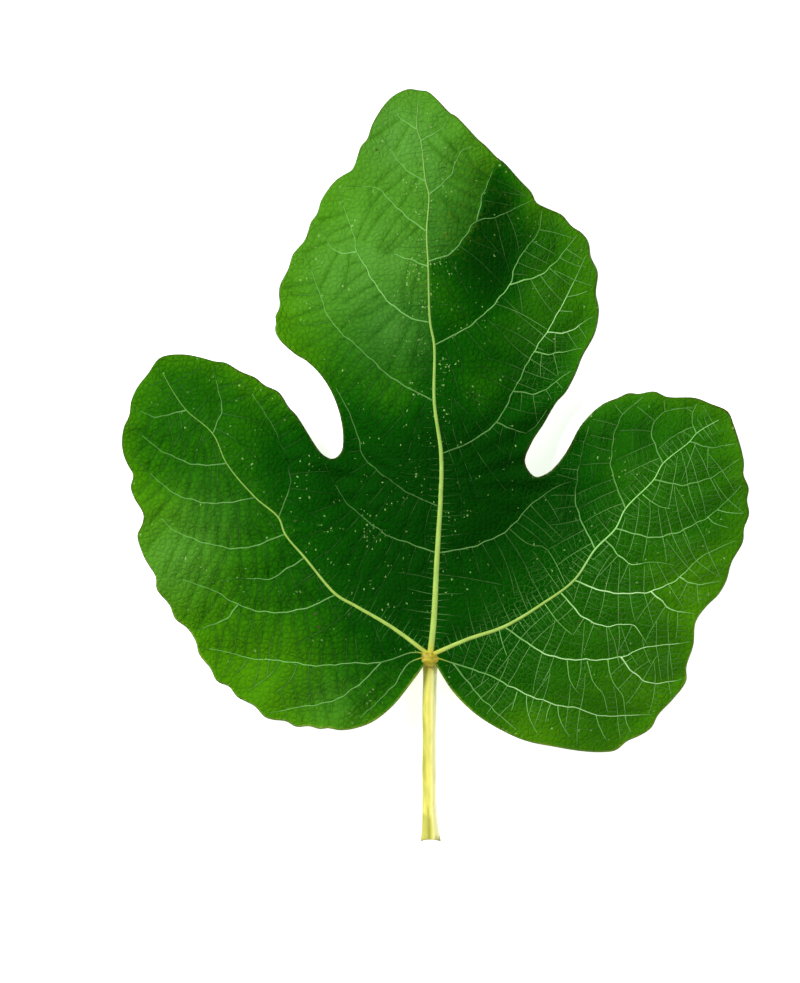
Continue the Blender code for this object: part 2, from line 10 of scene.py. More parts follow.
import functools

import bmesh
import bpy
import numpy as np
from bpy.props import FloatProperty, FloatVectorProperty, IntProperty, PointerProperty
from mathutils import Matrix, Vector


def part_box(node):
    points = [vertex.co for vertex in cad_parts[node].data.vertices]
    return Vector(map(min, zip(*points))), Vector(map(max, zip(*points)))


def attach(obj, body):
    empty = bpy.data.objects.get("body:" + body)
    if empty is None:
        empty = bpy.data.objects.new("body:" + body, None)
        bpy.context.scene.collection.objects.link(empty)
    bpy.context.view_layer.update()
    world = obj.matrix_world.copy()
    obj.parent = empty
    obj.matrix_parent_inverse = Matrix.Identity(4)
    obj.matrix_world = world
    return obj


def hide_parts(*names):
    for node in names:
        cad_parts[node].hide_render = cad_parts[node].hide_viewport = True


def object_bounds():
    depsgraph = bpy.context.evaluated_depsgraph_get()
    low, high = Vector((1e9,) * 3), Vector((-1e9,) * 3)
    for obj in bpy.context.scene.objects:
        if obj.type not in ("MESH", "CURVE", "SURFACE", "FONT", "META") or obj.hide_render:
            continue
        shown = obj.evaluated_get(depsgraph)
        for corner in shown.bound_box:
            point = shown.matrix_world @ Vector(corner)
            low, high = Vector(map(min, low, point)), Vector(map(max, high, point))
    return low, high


bl_info = {
    "name": "Fig Leaf",
    "version": (1, 0, 0),
    "blender": (4, 5, 0),
    "location": "3D View > Sidebar > Fig Leaf",
    "description": "Builds the finished surfaces of a fig leaf around its plain model",
    "category": "Add Mesh",
}

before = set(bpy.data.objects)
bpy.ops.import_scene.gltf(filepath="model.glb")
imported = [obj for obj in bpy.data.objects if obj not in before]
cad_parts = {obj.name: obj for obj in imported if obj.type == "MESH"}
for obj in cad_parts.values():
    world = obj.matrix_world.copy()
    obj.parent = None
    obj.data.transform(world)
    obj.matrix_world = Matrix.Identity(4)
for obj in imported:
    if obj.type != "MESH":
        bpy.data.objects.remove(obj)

CAD_LOW, CAD_HIGH = [np.array(corner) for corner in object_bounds()]
MM = 0.001

# The blade's edge, clockwise seen from above, from the stalk round the left lobe
LEFT_LOBE_LOWER = [
    (-5.5, -8.0), (-10.0, -13.5), (-15.3, -17.7), (-20.5, -19.5), (-24.0, -19.8), (-27.0, -19.3),
    (-29.0, -19.6), (-32.0, -18.9), (-35.5, -19.1), (-38.0, -17.7), (-41.5, -17.3), (-43.8, -16.6),
    (-46.5, -13.7), (-51.2, -11.3), (-53.3, -8.6), (-56.6, -7.1), (-58.2, -3.9), (-61.3, 0.0),
    (-62.2, 3.5), (-64.5, 7.0), (-67.6, 9.4), (-69.0, 13.0), (-72.4, 17.4), (-72.6, 20.6),
]
LEFT_LOBE_OUTER = [
    (-75.2, 24.8), (-76.8, 28.5), (-77.5, 31.8), (-76.2, 34.5), (-75.8, 37.2), (-78.2, 41.5),
    (-79.2, 44.5), (-78.5, 47.5), (-80.0, 50.3), (-81.1, 53.0), (-81.5, 56.3), (-80.9, 60.3),
    (-79.5, 63.3), (-79.0, 67.0), (-77.5, 70.6), (-74.5, 74.5), (-71.3, 78.6), (-65.5, 79.5),
    (-60.2, 78.6), (-57.0, 77.7), (-54.0, 77.3), (-50.0, 75.0), (-46.0, 73.3), (-43.7, 71.4),
    (-39.9, 69.5), (-37.2, 65.5), (-35.2, 63.3), (-29.8, 54.8),
]
LEFT_SINUS = [
    (-28.0, 52.8), (-25.5, 51.9), (-23.4, 54.0), (-23.1, 59.0), (-24.6, 66.0), (-28.0, 72.8),
    (-32.6, 77.7), (-35.5, 79.4), (-40.0, 83.6), (-41.1, 86.2),
]
MIDDLE_LOBE_LEFT = [
    (-40.8, 87.9), (-41.0, 89.7), (-40.0, 92.0), (-40.0, 97.5), (-37.6, 102.5), (-36.4, 106.2),
    (-33.2, 110.0), (-31.6, 114.7), (-30.0, 117.0), (-28.8, 120.7), (-25.3, 125.5), (-23.2, 127.0),
    (-20.6, 128.6), (-18.3, 134.7), (-16.7, 136.6), (-15.4, 140.4), (-12.3, 145.6), (-9.5, 148.4),
    (-5.5, 150.1), (-3.0, 149.7), (-0.5, 149.3),
]
MIDDLE_LOBE_RIGHT = [
    (5.6, 143.3), (6.6, 142.9), (13.1, 136.2), (14.2, 135.4), (18.1, 131.5), (19.4, 130.7),
    (23.9, 125.7), (26.9, 122.6), (28.3, 119.8), (31.8, 118.2), (35.0, 116.8), (37.7, 113.7),
    (40.2, 112.1), (42.1, 109.6), (42.8, 105.5), (44.6, 101.5), (44.1, 96.0), (44.9, 91.5),
    (43.9, 85.5), (40.3, 78.8), (38.5, 74.3), (35.8, 69.3), (33.6, 67.0),
]
RIGHT_SINUS = [
    (30.0, 61.0), (26.8, 56.0), (25.1, 51.0), (27.7, 47.2), (31.5, 48.5), (35.8, 53.5),
    (40.0, 61.0),
]
RIGHT_LOBE_OUTER = [
    (45.5, 66.3), (49.5, 68.0), (52.5, 69.3), (55.0, 69.1), (59.2, 69.7), (62.5, 68.3),
    (70.0, 68.0), (74.0, 66.5), (78.7, 64.4), (80.2, 61.0), (82.9, 51.0), (82.8, 47.7),
    (84.3, 44.0), (83.9, 41.0), (84.5, 37.3), (83.1, 33.5), (82.8, 30.0), (79.8, 24.5),
    (78.5, 19.5), (76.5, 16.0), (73.0, 12.6), (70.3, 8.6), (69.8, 2.5), (68.1, -3.2),
    (68.1, -7.0), (64.5, -12.0), (60.7, -16.0), (58.8, -19.5),
]
RIGHT_LOBE_LOWER = [
    (55.5, -21.7), (52.5, -23.0), (49.3, -25.5), (45.5, -25.9), (40.0, -25.5), (33.0, -24.3),
    (26.0, -22.9), (20.5, -20.7), (12.0, -15.5), (6.2, -9.8),
]
BASE_LEFT, BASE_RIGHT = (-1.4, -2.4), (1.4, -2.4)

# The main ribs, from the hub out: half their thickness at the hub and at the tip, then the route
MIDRIB = (1.5, 0.45, [
    (0.0, 0.0), (0.9, 8.0), (1.9, 27.0), (2.8, 42.0), (2.9, 53.2), (1.1, 67.0), (1.1, 81.8),
    (0.0, 88.0), (-0.5, 103.0), (-0.9, 111.7), (-0.3, 121.7), (-1.2, 125.3), (-2.4, 136.0),
    (-3.4, 139.2), (-3.1, 147.0),
])
LEFT_RIB = (1.3, 0.4, [
    (0.0, 0.0), (-10.0, 7.4), (-19.7, 13.1), (-24.8, 16.1), (-33.0, 25.8), (-38.2, 32.0),
    (-39.9, 36.3), (-46.0, 41.6), (-53.6, 50.6), (-57.3, 58.5), (-64.3, 64.7), (-68.2, 70.2),
    (-70.6, 74.6),
])
RIGHT_RIB = (1.3, 0.4, [
    (0.0, 0.0), (10.0, 4.3), (19.5, 7.6), (30.0, 13.9), (38.0, 19.9), (43.5, 28.0),
    (48.9, 33.5), (51.5, 38.7), (59.0, 46.4), (61.4, 50.6), (68.5, 56.4), (70.3, 58.6),
    (76.3, 62.2),
])
MAIN_RIBS = [MIDRIB, LEFT_RIB, RIGHT_RIB]
MAIN_ROUTES = [route for _, _, route in MAIN_RIBS]

# The side ribs, each from the rib that it leaves, or from the hub, out to near the edge
BASAL_RIBS = [
    [(0.0, 0.0), (-4.0, 0.9), (-12.8, -1.8), (-22.0, -2.1), (-29.5, -2.8), (-39.7, -1.5),
     (-48.2, -0.9), (-53.0, 0.5), (-58.5, 1.5)],
    [(-12.8, -1.8), (-18.5, -7.5), (-25.8, -12.1), (-34.5, -13.8), (-40.0, -15.0)],
    [(0.0, 0.0), (-5.5, -2.0), (-9.5, -7.8), (-15.5, -13.8), (-18.5, -16.5)],
    [(0.0, 0.0), (6.0, -2.0), (15.0, -5.0), (25.5, -10.3), (33.8, -13.2), (40.0, -14.3),
     (44.0, -16.0), (51.5, -16.2), (56.3, -16.0)],
    [(6.0, -2.0), (13.5, -11.2), (19.5, -16.8), (21.5, -18.6)],
]
MIDDLE_LOBE_RIBS_LEFT = [
    [(1.9, 27.0), (-5.0, 29.4), (-11.8, 32.0), (-17.2, 36.1), (-22.0, 40.3), (-25.0, 45.0)],
    [(2.6, 39.2), (-5.7, 42.9), (-13.1, 48.2), (-17.3, 52.0), (-19.4, 59.0), (-21.8, 65.0),
     (-24.8, 70.5)],
    [(1.1, 67.0), (-10.0, 73.2), (-17.5, 80.0), (-26.3, 88.5), (-29.3, 96.0), (-31.5, 102.0)],
    [(0.0, 87.8), (-5.0, 89.0), (-12.0, 94.5), (-17.0, 102.5), (-19.3, 106.5), (-20.2, 111.0),
     (-23.0, 119.0)],
    [(-19.3, 106.5), (-25.0, 106.8), (-28.3, 111.5)],
    [(-0.5, 102.6), (-4.5, 104.1), (-9.5, 106.0)],
    [(-0.9, 111.8), (-8.0, 117.5), (-14.0, 123.5), (-18.0, 124.0)],
    [(-1.2, 125.2), (-7.0, 129.0), (-10.5, 134.0)],
    [(-3.4, 139.2), (-8.0, 142.3), (-9.0, 144.5)],
]
MIDDLE_LOBE_RIBS_RIGHT = [
    [(1.9, 27.0), (12.2, 29.0), (21.0, 33.5), (25.8, 39.0), (31.0, 43.0)],
    [(2.9, 53.2), (10.0, 56.0), (17.5, 61.5), (22.0, 69.7), (27.5, 80.3), (31.0, 85.5),
     (36.2, 94.8), (39.2, 101.0)],
    [(22.0, 69.7), (29.0, 69.4), (34.8, 73.5)],
    [(27.5, 80.3), (31.5, 79.6), (37.0, 80.6)],
    [(31.0, 85.5), (36.0, 85.3), (40.5, 88.0)],
    [(17.5, 61.5), (21.0, 60.0), (25.5, 58.6)],
    [(1.1, 81.8), (11.5, 87.7), (21.0, 97.9), (23.0, 104.0), (29.0, 112.5), (29.4, 115.0)],
    [(21.0, 97.9), (30.3, 101.3), (37.3, 109.0)],
    [(-0.5, 103.9), (6.0, 106.5), (12.3, 114.6), (18.0, 116.0), (23.0, 118.5)],
    [(12.3, 114.6), (14.0, 121.5), (16.5, 128.0)],
    [(-0.3, 121.7), (4.7, 126.0), (8.8, 133.7), (11.5, 134.5)],
    [(-2.4, 136.0), (3.0, 139.3), (4.2, 140.7)],
]
LEFT_LOBE_RIBS = [
    [(-24.8, 16.1), (-33.0, 12.4), (-42.5, 11.3), (-50.7, 13.3), (-56.5, 16.7), (-65.5, 20.0)],
    [(-50.7, 13.3), (-54.0, 9.6), (-60.3, 6.9)],
    [(-33.0, 25.8), (-39.0, 22.0), (-41.8, 20.3), (-48.5, 20.3)],
    [(-38.2, 32.0), (-49.0, 28.3), (-57.5, 29.2), (-68.0, 33.2), (-71.0, 36.2)],
    [(-46.0, 41.6), (-57.0, 40.1), (-67.0, 42.5), (-74.0, 48.0)],
    [(-53.6, 50.6), (-61.5, 50.3), (-71.0, 54.1), (-76.0, 58.0)],
    [(-64.3, 64.7), (-72.5, 63.0), (-76.5, 64.4)],
    [(-39.9, 36.3), (-36.8, 46.5), (-41.0, 59.5), (-47.0, 69.0)],
    [(-57.3, 58.5), (-55.0, 65.0), (-56.5, 72.7)],
]
RIGHT_LOBE_RIBS = [
    [(19.5, 7.6), (31.5, 0.0), (41.5, -1.2), (50.5, -0.5), (56.5, 1.9), (66.0, 3.0)],
    [(50.5, -0.5), (54.0, -4.9), (59.0, -7.6), (65.0, -7.0)],
    [(34.5, 16.5), (41.0, 9.7), (46.0, 7.8), (53.7, 8.0), (55.8, 5.4)],
    [(38.0, 19.9), (46.5, 16.8), (58.3, 16.9), (66.0, 20.6), (71.0, 25.5), (76.5, 28.4)],
    [(66.0, 20.6), (70.5, 18.6), (75.0, 19.2)],
    [(58.3, 16.9), (64.0, 12.0), (67.5, 11.3)],
    [(46.0, 30.6), (53.0, 24.0), (56.0, 24.3)],
    [(48.9, 33.5), (60.0, 31.2), (73.5, 36.6), (80.0, 42.3)],
    [(59.0, 46.4), (67.0, 45.0), (75.0, 47.4), (80.0, 50.7)],
    [(68.5, 56.4), (74.0, 54.9), (78.0, 55.4)],
    [(43.5, 28.0), (38.5, 40.0), (40.0, 53.0), (42.0, 60.5)],
    [(51.5, 38.7), (47.8, 50.0), (50.3, 62.8), (54.0, 66.3)],
    [(61.4, 50.6), (58.5, 59.0), (61.0, 63.8), (63.5, 64.7)],
    [(70.3, 58.6), (69.0, 62.5), (69.8, 65.0)],
]
SIDE_RIBS = (
    BASAL_RIBS + MIDDLE_LOBE_RIBS_LEFT + MIDDLE_LOBE_RIBS_RIGHT + LEFT_LOBE_RIBS + RIGHT_LOBE_RIBS
)

# Twigs that leave the side ribs and show only on the upper face
TWIGS = [
    [(-35.0, -2.2), (-35.8, -4.6), (-38.0, -8.0), (-41.0, -10.0)],
    [(-39.8, -1.5), (-41.5, -4.5), (-45.0, -7.4), (-48.0, -9.5)],
    [(-48.0, -0.9), (-49.5, -3.0), (-51.5, -5.0)],
    [(-25.8, -12.1), (-26.2, -15.1)],
    [(25.5, -10.4), (25.5, -13.2), (26.4, -17.0), (28.6, -21.0)],
    [(33.8, -13.4), (34.0, -16.0), (35.2, -19.0), (37.0, -21.6)],
    [(44.0, -16.0), (44.7, -18.6), (46.8, -22.7)],
    [(51.8, -16.3), (52.3, -18.5), (53.3, -20.4)],
    [(23.0, -9.6), (22.3, -12.0), (21.5, -14.7)],
    [(32.0, -12.6), (31.0, -15.0), (30.5, -17.5)],
    [(-29.5, 95.9), (-33.0, 95.3), (-37.0, 95.5)],
    [(-26.3, 88.3), (-32.0, 87.5), (-36.0, 87.8)],
    [(17.0, 93.0), (23.8, 90.4), (31.0, 86.2)],
    [(21.0, 33.4), (26.4, 29.0), (30.0, 28.8), (32.5, 25.5), (35.7, 18.9)],
    [(2.0, 21.4), (8.0, 20.7), (18.9, 18.7)],
    [(1.5, 20.0), (-3.5, 21.2), (-8.4, 21.9)],
    [(-29.8, 22.3), (-33.0, 20.0), (-36.0, 17.5)],
    [(-20.0, 13.4), (-22.0, 11.2), (-26.4, 7.8), (-32.5, 4.4), (-35.0, 3.0)],
    [(56.0, 42.5), (58.0, 40.8), (60.6, 39.2), (63.5, 38.7)],
    [(76.0, 38.4), (79.0, 37.6), (83.0, 37.5)],
    [(73.3, 36.6), (74.9, 34.9), (78.9, 33.7)],
    [(36.2, -1.2), (36.5, -4.4), (37.0, -7.0), (39.2, -10.0)],
    [(41.5, -1.5), (42.3, -4.5), (43.3, -7.8), (45.5, -9.5), (47.0, -15.0)],
    [(47.0, -1.2), (47.5, -4.7), (49.0, -8.4), (50.8, -9.8), (51.8, -16.0)],
    [(30.3, 13.5), (34.0, 8.5), (37.5, 5.5)],
    [(18.2, 6.8), (19.0, 3.5), (20.2, 0.0)],
    [(34.0, 91.2), (38.0, 90.9)],
    [(36.1, 94.8), (39.4, 95.5), (41.8, 96.4)],
    [(25.6, 58.8), (27.5, 60.0), (29.4, 62.5), (30.9, 64.9)],
]

# A crest in the middle lobe, right of the midrib, where the blade turns down to the right
FOLD_LINE = [(-0.5, 103.9), (6.0, 106.5), (12.3, 114.6), (14.0, 121.5), (17.5, 130.5)]

# Where the edge bends down to rest: the place, how much lower it comes, and how far the bend reaches
REST_SPOTS = [
    ((-57.0, -6.5), 4.8, 20.0), ((62.0, -15.0), 2.6, 18.0), ((-40.0, 97.0), 1.8, 11.0),
    ((44.0, 99.0), 0.8, 9.0),
]

# The stalk's middle line from its cut foot up to the hub, with half its thickness at each point
STALK_FOOT_Y = -49.4
STALK = [
    ((0.2, STALK_FOOT_Y), 2.7), ((0.1, -46.5), 2.2), ((-0.1, -42.0), 1.9),
    ((-0.2, -30.0), 1.85), ((-0.2, -15.0), 1.85), ((-0.1, -6.0), 1.85),
    ((0.0, -2.0), 2.0),
]

# The form of the plain model, with lengths in millimetres
BLADE_THICKNESS = 0.7
BLADE_REACH = 150.0
HUB_HEIGHT = 10.0
RIB_ARCH = 2.4
RIB_DROOP = 7.6
ROOF_SLOPE = 0.05
ROOF_CURVE = 0.004
CREASE_BLEND = 4.0
QUILT_HEIGHT = 0.9
QUILT_WIDTH = 3.5
EDGE_WAVE = 0.9
EDGE_WAVES = 22
EDGE_WAVE_REACH = 9.0
HUB_CALM = 18.0
BLADE_MIDDLE = (0.0, 45.0)
FOLD_HEIGHT = 1.8
FOLD_GENTLE = 20.0
FOLD_STEEP = 9.0
SIDE_RIB_RADII = (0.6, 0.35)
STALK_RISE_POWER = 1.6
STALK_TOP_DEPTH = 2.6

# How finely lines are followed: steps in millimetres, and samples between two given points
EDGE_STEP = 2.1
FINE_STEP = 0.5
RIB_STEP = 5.0
ROD_STEP = 1.5
RIDGE_STEP = 1.0
CURVE_SAMPLES = 24

# Where the edge is split: the tips of the side lobes, the apex, and the bottoms of both sinuses
LEFT_TIP, LEFT_DIP = (-73.0, 76.7), (-25.9, 51.9)
APEX = (-3.1, 149.7)
RIGHT_DIP, RIGHT_TIP = (27.3, 47.2), (78.9, 64.2)

# Rows from the hub to a sinus, and on to the tip, then columns from the rib to the edge
HUB_ROWS = 84
MIDDLE_ROWS = 130
SIDE_ROWS = 95
WIDE_COLUMNS = 58
NARROW_COLUMNS = 44
LOWER_FACE_SHARE = 0.55

# The finished surface, with lengths in millimetres
GROOVE_WIDTH = 0.95
GROOVES_CALM = [((-16.0, 110.0), 28.0, 0.6)]
EDGE_ROUND = 0.9
RIDGE_SIDES = 5
SKIRT = 0.04
ROD_SUNK = 0.72
GOLD_REACH = 3.3
CUT_NOTCH = 0.55
DISH_WIDTH = 0.93
DISH_DEPTH = 0.9
KNOT_RADIUS = 2.3
KNOT_STRETCH = 1.2
KNOT_HALF_HEIGHT = 1.7
KNOT_DROP = 0.9
WELD = 1e-6

# Half the width of each main rib on the upper face, by share of its length
MIDRIB_WIDTHS = ([0.0, 0.33, 0.47, 0.67, 0.87, 1.0], [0.88, 0.6, 0.45, 0.28, 0.19, 0.1])
OUTER_RIB_WIDTHS = ([0.0, 0.33, 0.62, 1.0], [0.64, 0.38, 0.2, 0.09])
RIB_WIDTHS = [MIDRIB_WIDTHS, OUTER_RIB_WIDTHS, OUTER_RIB_WIDTHS]

# The fine veins by piece: half their width, points along each, height, and how pale they are
FINE_VEINS = {
    "rungs": (0.115, 11, 0.12, 0.42),
    "twigs": (0.135, 12, 0.13, 0.62),
    "rib_ends": (0.12, 10, 0.1, 0.45),
    "comb_teeth": (0.1, 8, 0.09, 0.36),
    "cross_veins": (0.07, 5, 0.075, 0.22),
}

# How the fine veins grow, with lengths in millimetres
TOOTH_SPACING = 1.7
CROSS_SPACING = 1.45
START_GAP = 0.05
STRAIGHT_OUT = 0.93
GROUND_CELL = 0.5
GROUND_BORDER = 3.0
GROW_STEP = 0.5
GROW_FREE = 1.8
GROW_FEWEST = 3
FREE = 0

# Brown spots
BROWN_SPOTS = [
    (42.3, -5.0), (54.5, -4.8), (49.3, 4.5), (50.2, 1.0), (45.5, 5.5), (50.0, 11.0), (39.3, 9.0),
    (63.5, 33.0), (66.0, 38.5), (63.7, 27.5), (48.8, 57.0), (46.0, 17.0), (37.0, -21.8),
    (18.8, -15.8), (-30.3, 11.0), (-29.3, 7.5), (-49.3, -3.2), (-35.5, 35.5), (-60.5, 33.0),
    (-14.2, 133.8), (20.0, 121.8),
]

# Lighter and darker regions of the upper face, partly its own greens and partly painted light and shade:
# place, reach, and how much lighter (+) or darker (-)
TONE_ZONES = [
    ((-4.0, 140.0), 17.0, 0.34), ((5.0, 122.0), 8.0, 0.04), ((12.0, 52.0), 16.0, -0.12),
    ((-67.0, 24.0), 15.0, 0.32), ((-48.0, -8.0), 18.0, 0.36), ((-22.0, -10.0), 10.0, 0.12),
    ((26.0, -19.0), 9.0, 0.25), ((-62.0, 68.0), 12.0, -0.1), ((36.0, 5.0), 14.0, 0.1),
    ((46.0, -12.0), 12.0, 0.1), ((31.0, 94.0), 9.0, 0.14), ((36.0, 44.0), 11.0, -0.2),
    ((-35.0, 52.0), 11.0, -0.2), ((55.0, 60.0), 9.0, -0.1), ((9.0, 88.0), 7.0, 0.07),
    ((16.0, 108.0), 9.0, -0.12), ((-5.0, 14.0), 10.0, -0.08), ((4.0, 97.0), 7.0, 0.17),
    ((13.0, 69.0), 10.0, 0.34), ((23.0, 86.0), 7.0, 0.09), ((-9.0, 69.0), 8.0, 0.36),
    ((20.0, 117.0), 6.0, -0.15), ((30.0, 110.0), 6.0, -0.08), ((-70.0, 38.0), 8.0, 0.2),
    ((69.0, 17.0), 12.0, 0.3), ((58.0, -9.0), 9.0, 0.15), ((47.0, 46.0), 8.0, 0.12),
    ((-34.0, 4.0), 10.0, 0.1), ((-36.0, 88.0), 8.0, 0.1), ((8.0, 18.0), 8.0, 0.1),
]
# Painted light on the left half of the middle lobe, which faces the light: place, reach, how much lighter
PAINTED_LIGHT_ZONES = [((-20.0, 108.0), 27.0, 0.38), ((-24.0, 78.0), 12.0, 0.1), ((-6.0, 83.0), 6.0, 0.13)]

# A painted sheen, greyish green that stands in for light, in patches on the left halves of the lobes: place,
# reach, amount
PAINTED_SHEEN_ZONES = [
    ((-14.0, 108.0), 17.0, 0.55), ((-10.0, 86.0), 10.0, 0.34), ((-26.0, 100.0), 12.0, 0.25),
    ((-6.0, 138.0), 14.0, 0.8), ((5.0, 122.0), 9.0, 0.15), ((-68.0, 25.0), 10.0, 0.5),
    ((-60.0, 36.0), 9.0, 0.2), ((-26.0, -14.0), 8.0, 0.2),
]

# A brownish tint that lies in fine grains: place, reach, amount
RUST_ZONES = [
    ((6.0, 114.0), 8.0, 0.9), ((12.0, 128.0), 6.0, 0.6), ((40.0, 108.0), 6.0, 0.5),
    ((30.0, -20.0), 9.0, 0.35), ((24.0, 118.0), 5.0, 0.5),
]

# Where the side ribs are paler (+) or duller (-): place, reach, amount
PALE_ZONES = [
    ((55.0, -2.0), 30.0, 0.68), ((36.0, 90.0), 16.0, 0.6), ((22.0, 97.0), 9.0, 0.15),
    ((-12.0, 98.0), 16.0, 0.24), ((-60.0, 28.0), 16.0, 0.1), ((-40.0, -2.0), 18.0, 0.3),
    ((-38.0, 52.0), 12.0, -0.28), ((38.0, 50.0), 10.0, -0.26), ((-8.0, 46.0), 18.0, -0.2),
    ((66.0, 40.0), 14.0, 0.15), ((-20.0, 78.0), 8.0, -0.12), ((-36.0, 110.0), 12.0, -0.2),
    ((32.0, -12.0), 15.0, 0.55), ((50.0, 16.0), 12.0, 0.35),
]


# Curves through points


def smooth_line(points, step):
    """Evenly spaced points along the centripetal Catmull-Rom curve through the given points."""
    p = np.array(points, float)
    p = np.vstack([2 * p[0] - p[1], p, 2 * p[-1] - p[-2]])
    width = np.sqrt(np.linalg.norm(np.diff(p, axis=0), axis=1))[:, None]
    slope = np.diff(p, axis=0) / width
    tangent = (slope[:-1] * width[1:] + slope[1:] * width[:-1]) / (width[:-1] + width[1:])
    u = np.linspace(0.0, 1.0, CURVE_SAMPLES, endpoint=False)[None, :, None]
    leaving = tangent[:-1, None] * width[1:-1, None]
    arriving = tangent[1:, None] * width[1:-1, None]
    dense = (
        p[1:-2, None] * (2 * u**3 - 3 * u**2 + 1)
        + p[2:-1, None] * (3 * u**2 - 2 * u**3)
        + leaving * (u**3 - 2 * u**2 + u)
        + arriving * (u**3 - u**2)
    )
    dense = np.vstack([dense.reshape(-1, 2), p[-2]])
    return even_points(dense, max(2, round(line_length(dense) / step) + 1))


def line_length(line):
    return np.linalg.norm(np.diff(line, axis=0), axis=1).sum()


def lengths_along(line):
    """The distance from a line's start to each of its points."""
    return np.concatenate([[0.0], np.cumsum(np.linalg.norm(np.diff(line, axis=0), axis=1))])


def places_along(line, wanted):
    """The places at the wanted distances along a line of straight pieces."""
    return np.column_stack([np.interp(wanted, lengths_along(line), column) for column in line.T])


def even_points(line, count):
    """count points at equal distances along a line."""
    return places_along(line, np.linspace(0.0, lengths_along(line)[-1], count))


def distance_to_line(points, line, reach=None):
    """Distance to the nearest place on a line. Points beyond reach of its box just get reach."""
    found = np.full(len(points), np.inf if reach is None else float(reach))
    close = np.ones(len(points), bool)
    if reach is not None:
        close = ((points > line.min(0) - reach) & (points < line.max(0) + reach)).all(1)
    start, run = line[:-1], np.diff(line, axis=0)
    length = np.maximum((run * run).sum(1), 1e-12)
    chosen = np.nonzero(close)[0]
    for block in np.array_split(chosen, len(chosen) * len(start) // 2_000_000 + 1):
        offset = points[block][:, None, :] - start[None]
        share = np.clip((offset * run).sum(2) / length, 0.0, 1.0)
        nearest = np.linalg.norm(offset - share[..., None] * run, axis=2).min(1)
        found[block] = np.minimum(found[block], nearest)
    return found


def distance_to_lines(points, lines, reach):
    """Distance to the nearest of several lines, and reach where all are farther."""
    found = np.full(len(points), float(reach))
    for line in lines:
        found = np.minimum(found, distance_to_line(points, line, reach))
    return found


EDGE_POINTS = (
    [BASE_LEFT] + LEFT_LOBE_LOWER + LEFT_LOBE_OUTER + LEFT_SINUS + MIDDLE_LOBE_LEFT
    + MIDDLE_LOBE_RIGHT + RIGHT_SINUS + RIGHT_LOBE_OUTER + RIGHT_LOBE_LOWER + [BASE_RIGHT]
)
EDGE = smooth_line(EDGE_POINTS, FINE_STEP)
COARSE_EDGE = smooth_line(EDGE_POINTS, EDGE_STEP)
MAIN_LINES = [smooth_line(route, RIB_STEP) for route in MAIN_ROUTES]
SIDE_LINES = [smooth_line(route, RIB_STEP) for route in SIDE_RIBS]
TWIG_LINES = [smooth_line(route, RIB_STEP / 2) for route in TWIGS]
FOLD = smooth_line(FOLD_LINE, RIB_STEP)

BLADE_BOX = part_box("leaf_blade")
HUB = np.array([
    BLADE_BOX[0][0] / MM - COARSE_EDGE[:, 0].min(), BLADE_BOX[1][1] / MM - COARSE_EDGE[:, 1].max(),
])


# The blade's heights, in millimetres above the surface it lies on


def smooth_step(value, low, high):
    share = np.clip((value - low) / (high - low), 0.0, 1.0)
    return share * share * (3.0 - 2.0 * share)


def zones(points, places):
    """The sum of soft round spots: each is its amount times exp(-(distance / reach)^2)."""
    total = np.zeros(len(points))
    for place, reach, amount in places:
        total += amount * np.exp(-((np.linalg.norm(points - place, axis=1) / reach) ** 2))
    return total


def fold_side(points):
    """-1 on the fold line's gentle left and 1 on its steep right, and the distance to the line."""
    nearest = distance_to_line(points, FOLD)
    across = points[:, 0] - np.interp(points[:, 1], FOLD[:, 1], FOLD[:, 0])
    return np.clip(across / np.maximum(nearest, 0.01), -1.0, 1.0), nearest


def underside(points):
    """Height of the plain model's lower face, without its narrow ridges.

    The ribs arch from the hub as 2.4 sin(pi r) - 7.6 r^2, the blade droops from the nearest rib
    as 0.05 d + 0.004 d^2, swells between side ribs, and waves along its edge.
    """
    reach = np.linalg.norm(points, axis=1) / BLADE_REACH
    height = HUB_HEIGHT - BLADE_THICKNESS
    height = height + RIB_ARCH * np.sin(np.pi * np.clip(reach, 0, 1)) - RIB_DROOP * reach**2
    to_ribs = np.column_stack([distance_to_line(points, line) for line in MAIN_LINES])
    nearest = np.maximum(-CREASE_BLEND * np.log(np.exp(-to_ribs / CREASE_BLEND).sum(1)), 0.0)
    height = height - ROOF_SLOPE * nearest - ROOF_CURVE * nearest**2
    dips = [(place, bend, depth) for place, depth, bend in REST_SPOTS]
    height = height - zones(points, dips)
    side, to_fold = fold_side(points)
    bend = (FOLD_STEEP + FOLD_GENTLE + side * (FOLD_STEEP - FOLD_GENTLE)) / 2
    height = height + FOLD_HEIGHT * np.exp(-((to_fold / bend) ** 2))
    out = points - BLADE_MIDDLE
    fade = np.exp(-distance_to_line(points, COARSE_EDGE) / EDGE_WAVE_REACH)
    fade = fade * (1.0 - np.exp(-((np.linalg.norm(points, axis=1) / HUB_CALM) ** 2)))
    height = height + EDGE_WAVE * np.sin(EDGE_WAVES * np.arctan2(out[:, 1], out[:, 0])) * fade
    quilt = np.minimum(distance_to_lines(points, SIDE_LINES, 4 * QUILT_WIDTH), to_ribs.min(1))
    height = height + QUILT_HEIGHT * (1.0 - np.exp(-((quilt / QUILT_WIDTH) ** 2)))
    return np.maximum(height, 0.0)


def crinkle(points):
    """Small uneven swellings: a sum of crossing sine waves of a few millimetres."""
    x, y = points[:, 0], points[:, 1]
    total = np.sin(0.83 * x + 0.41 * y + 1.3 * np.sin(0.21 * y))
    total += np.sin(0.37 * x - 0.92 * y + 1.1 * np.sin(0.27 * x + 0.6))
    total += 0.8 * np.sin(1.21 * x + 0.98 * y + 0.9 * np.sin(0.33 * x - 0.4 * y))
    return total / 2.8


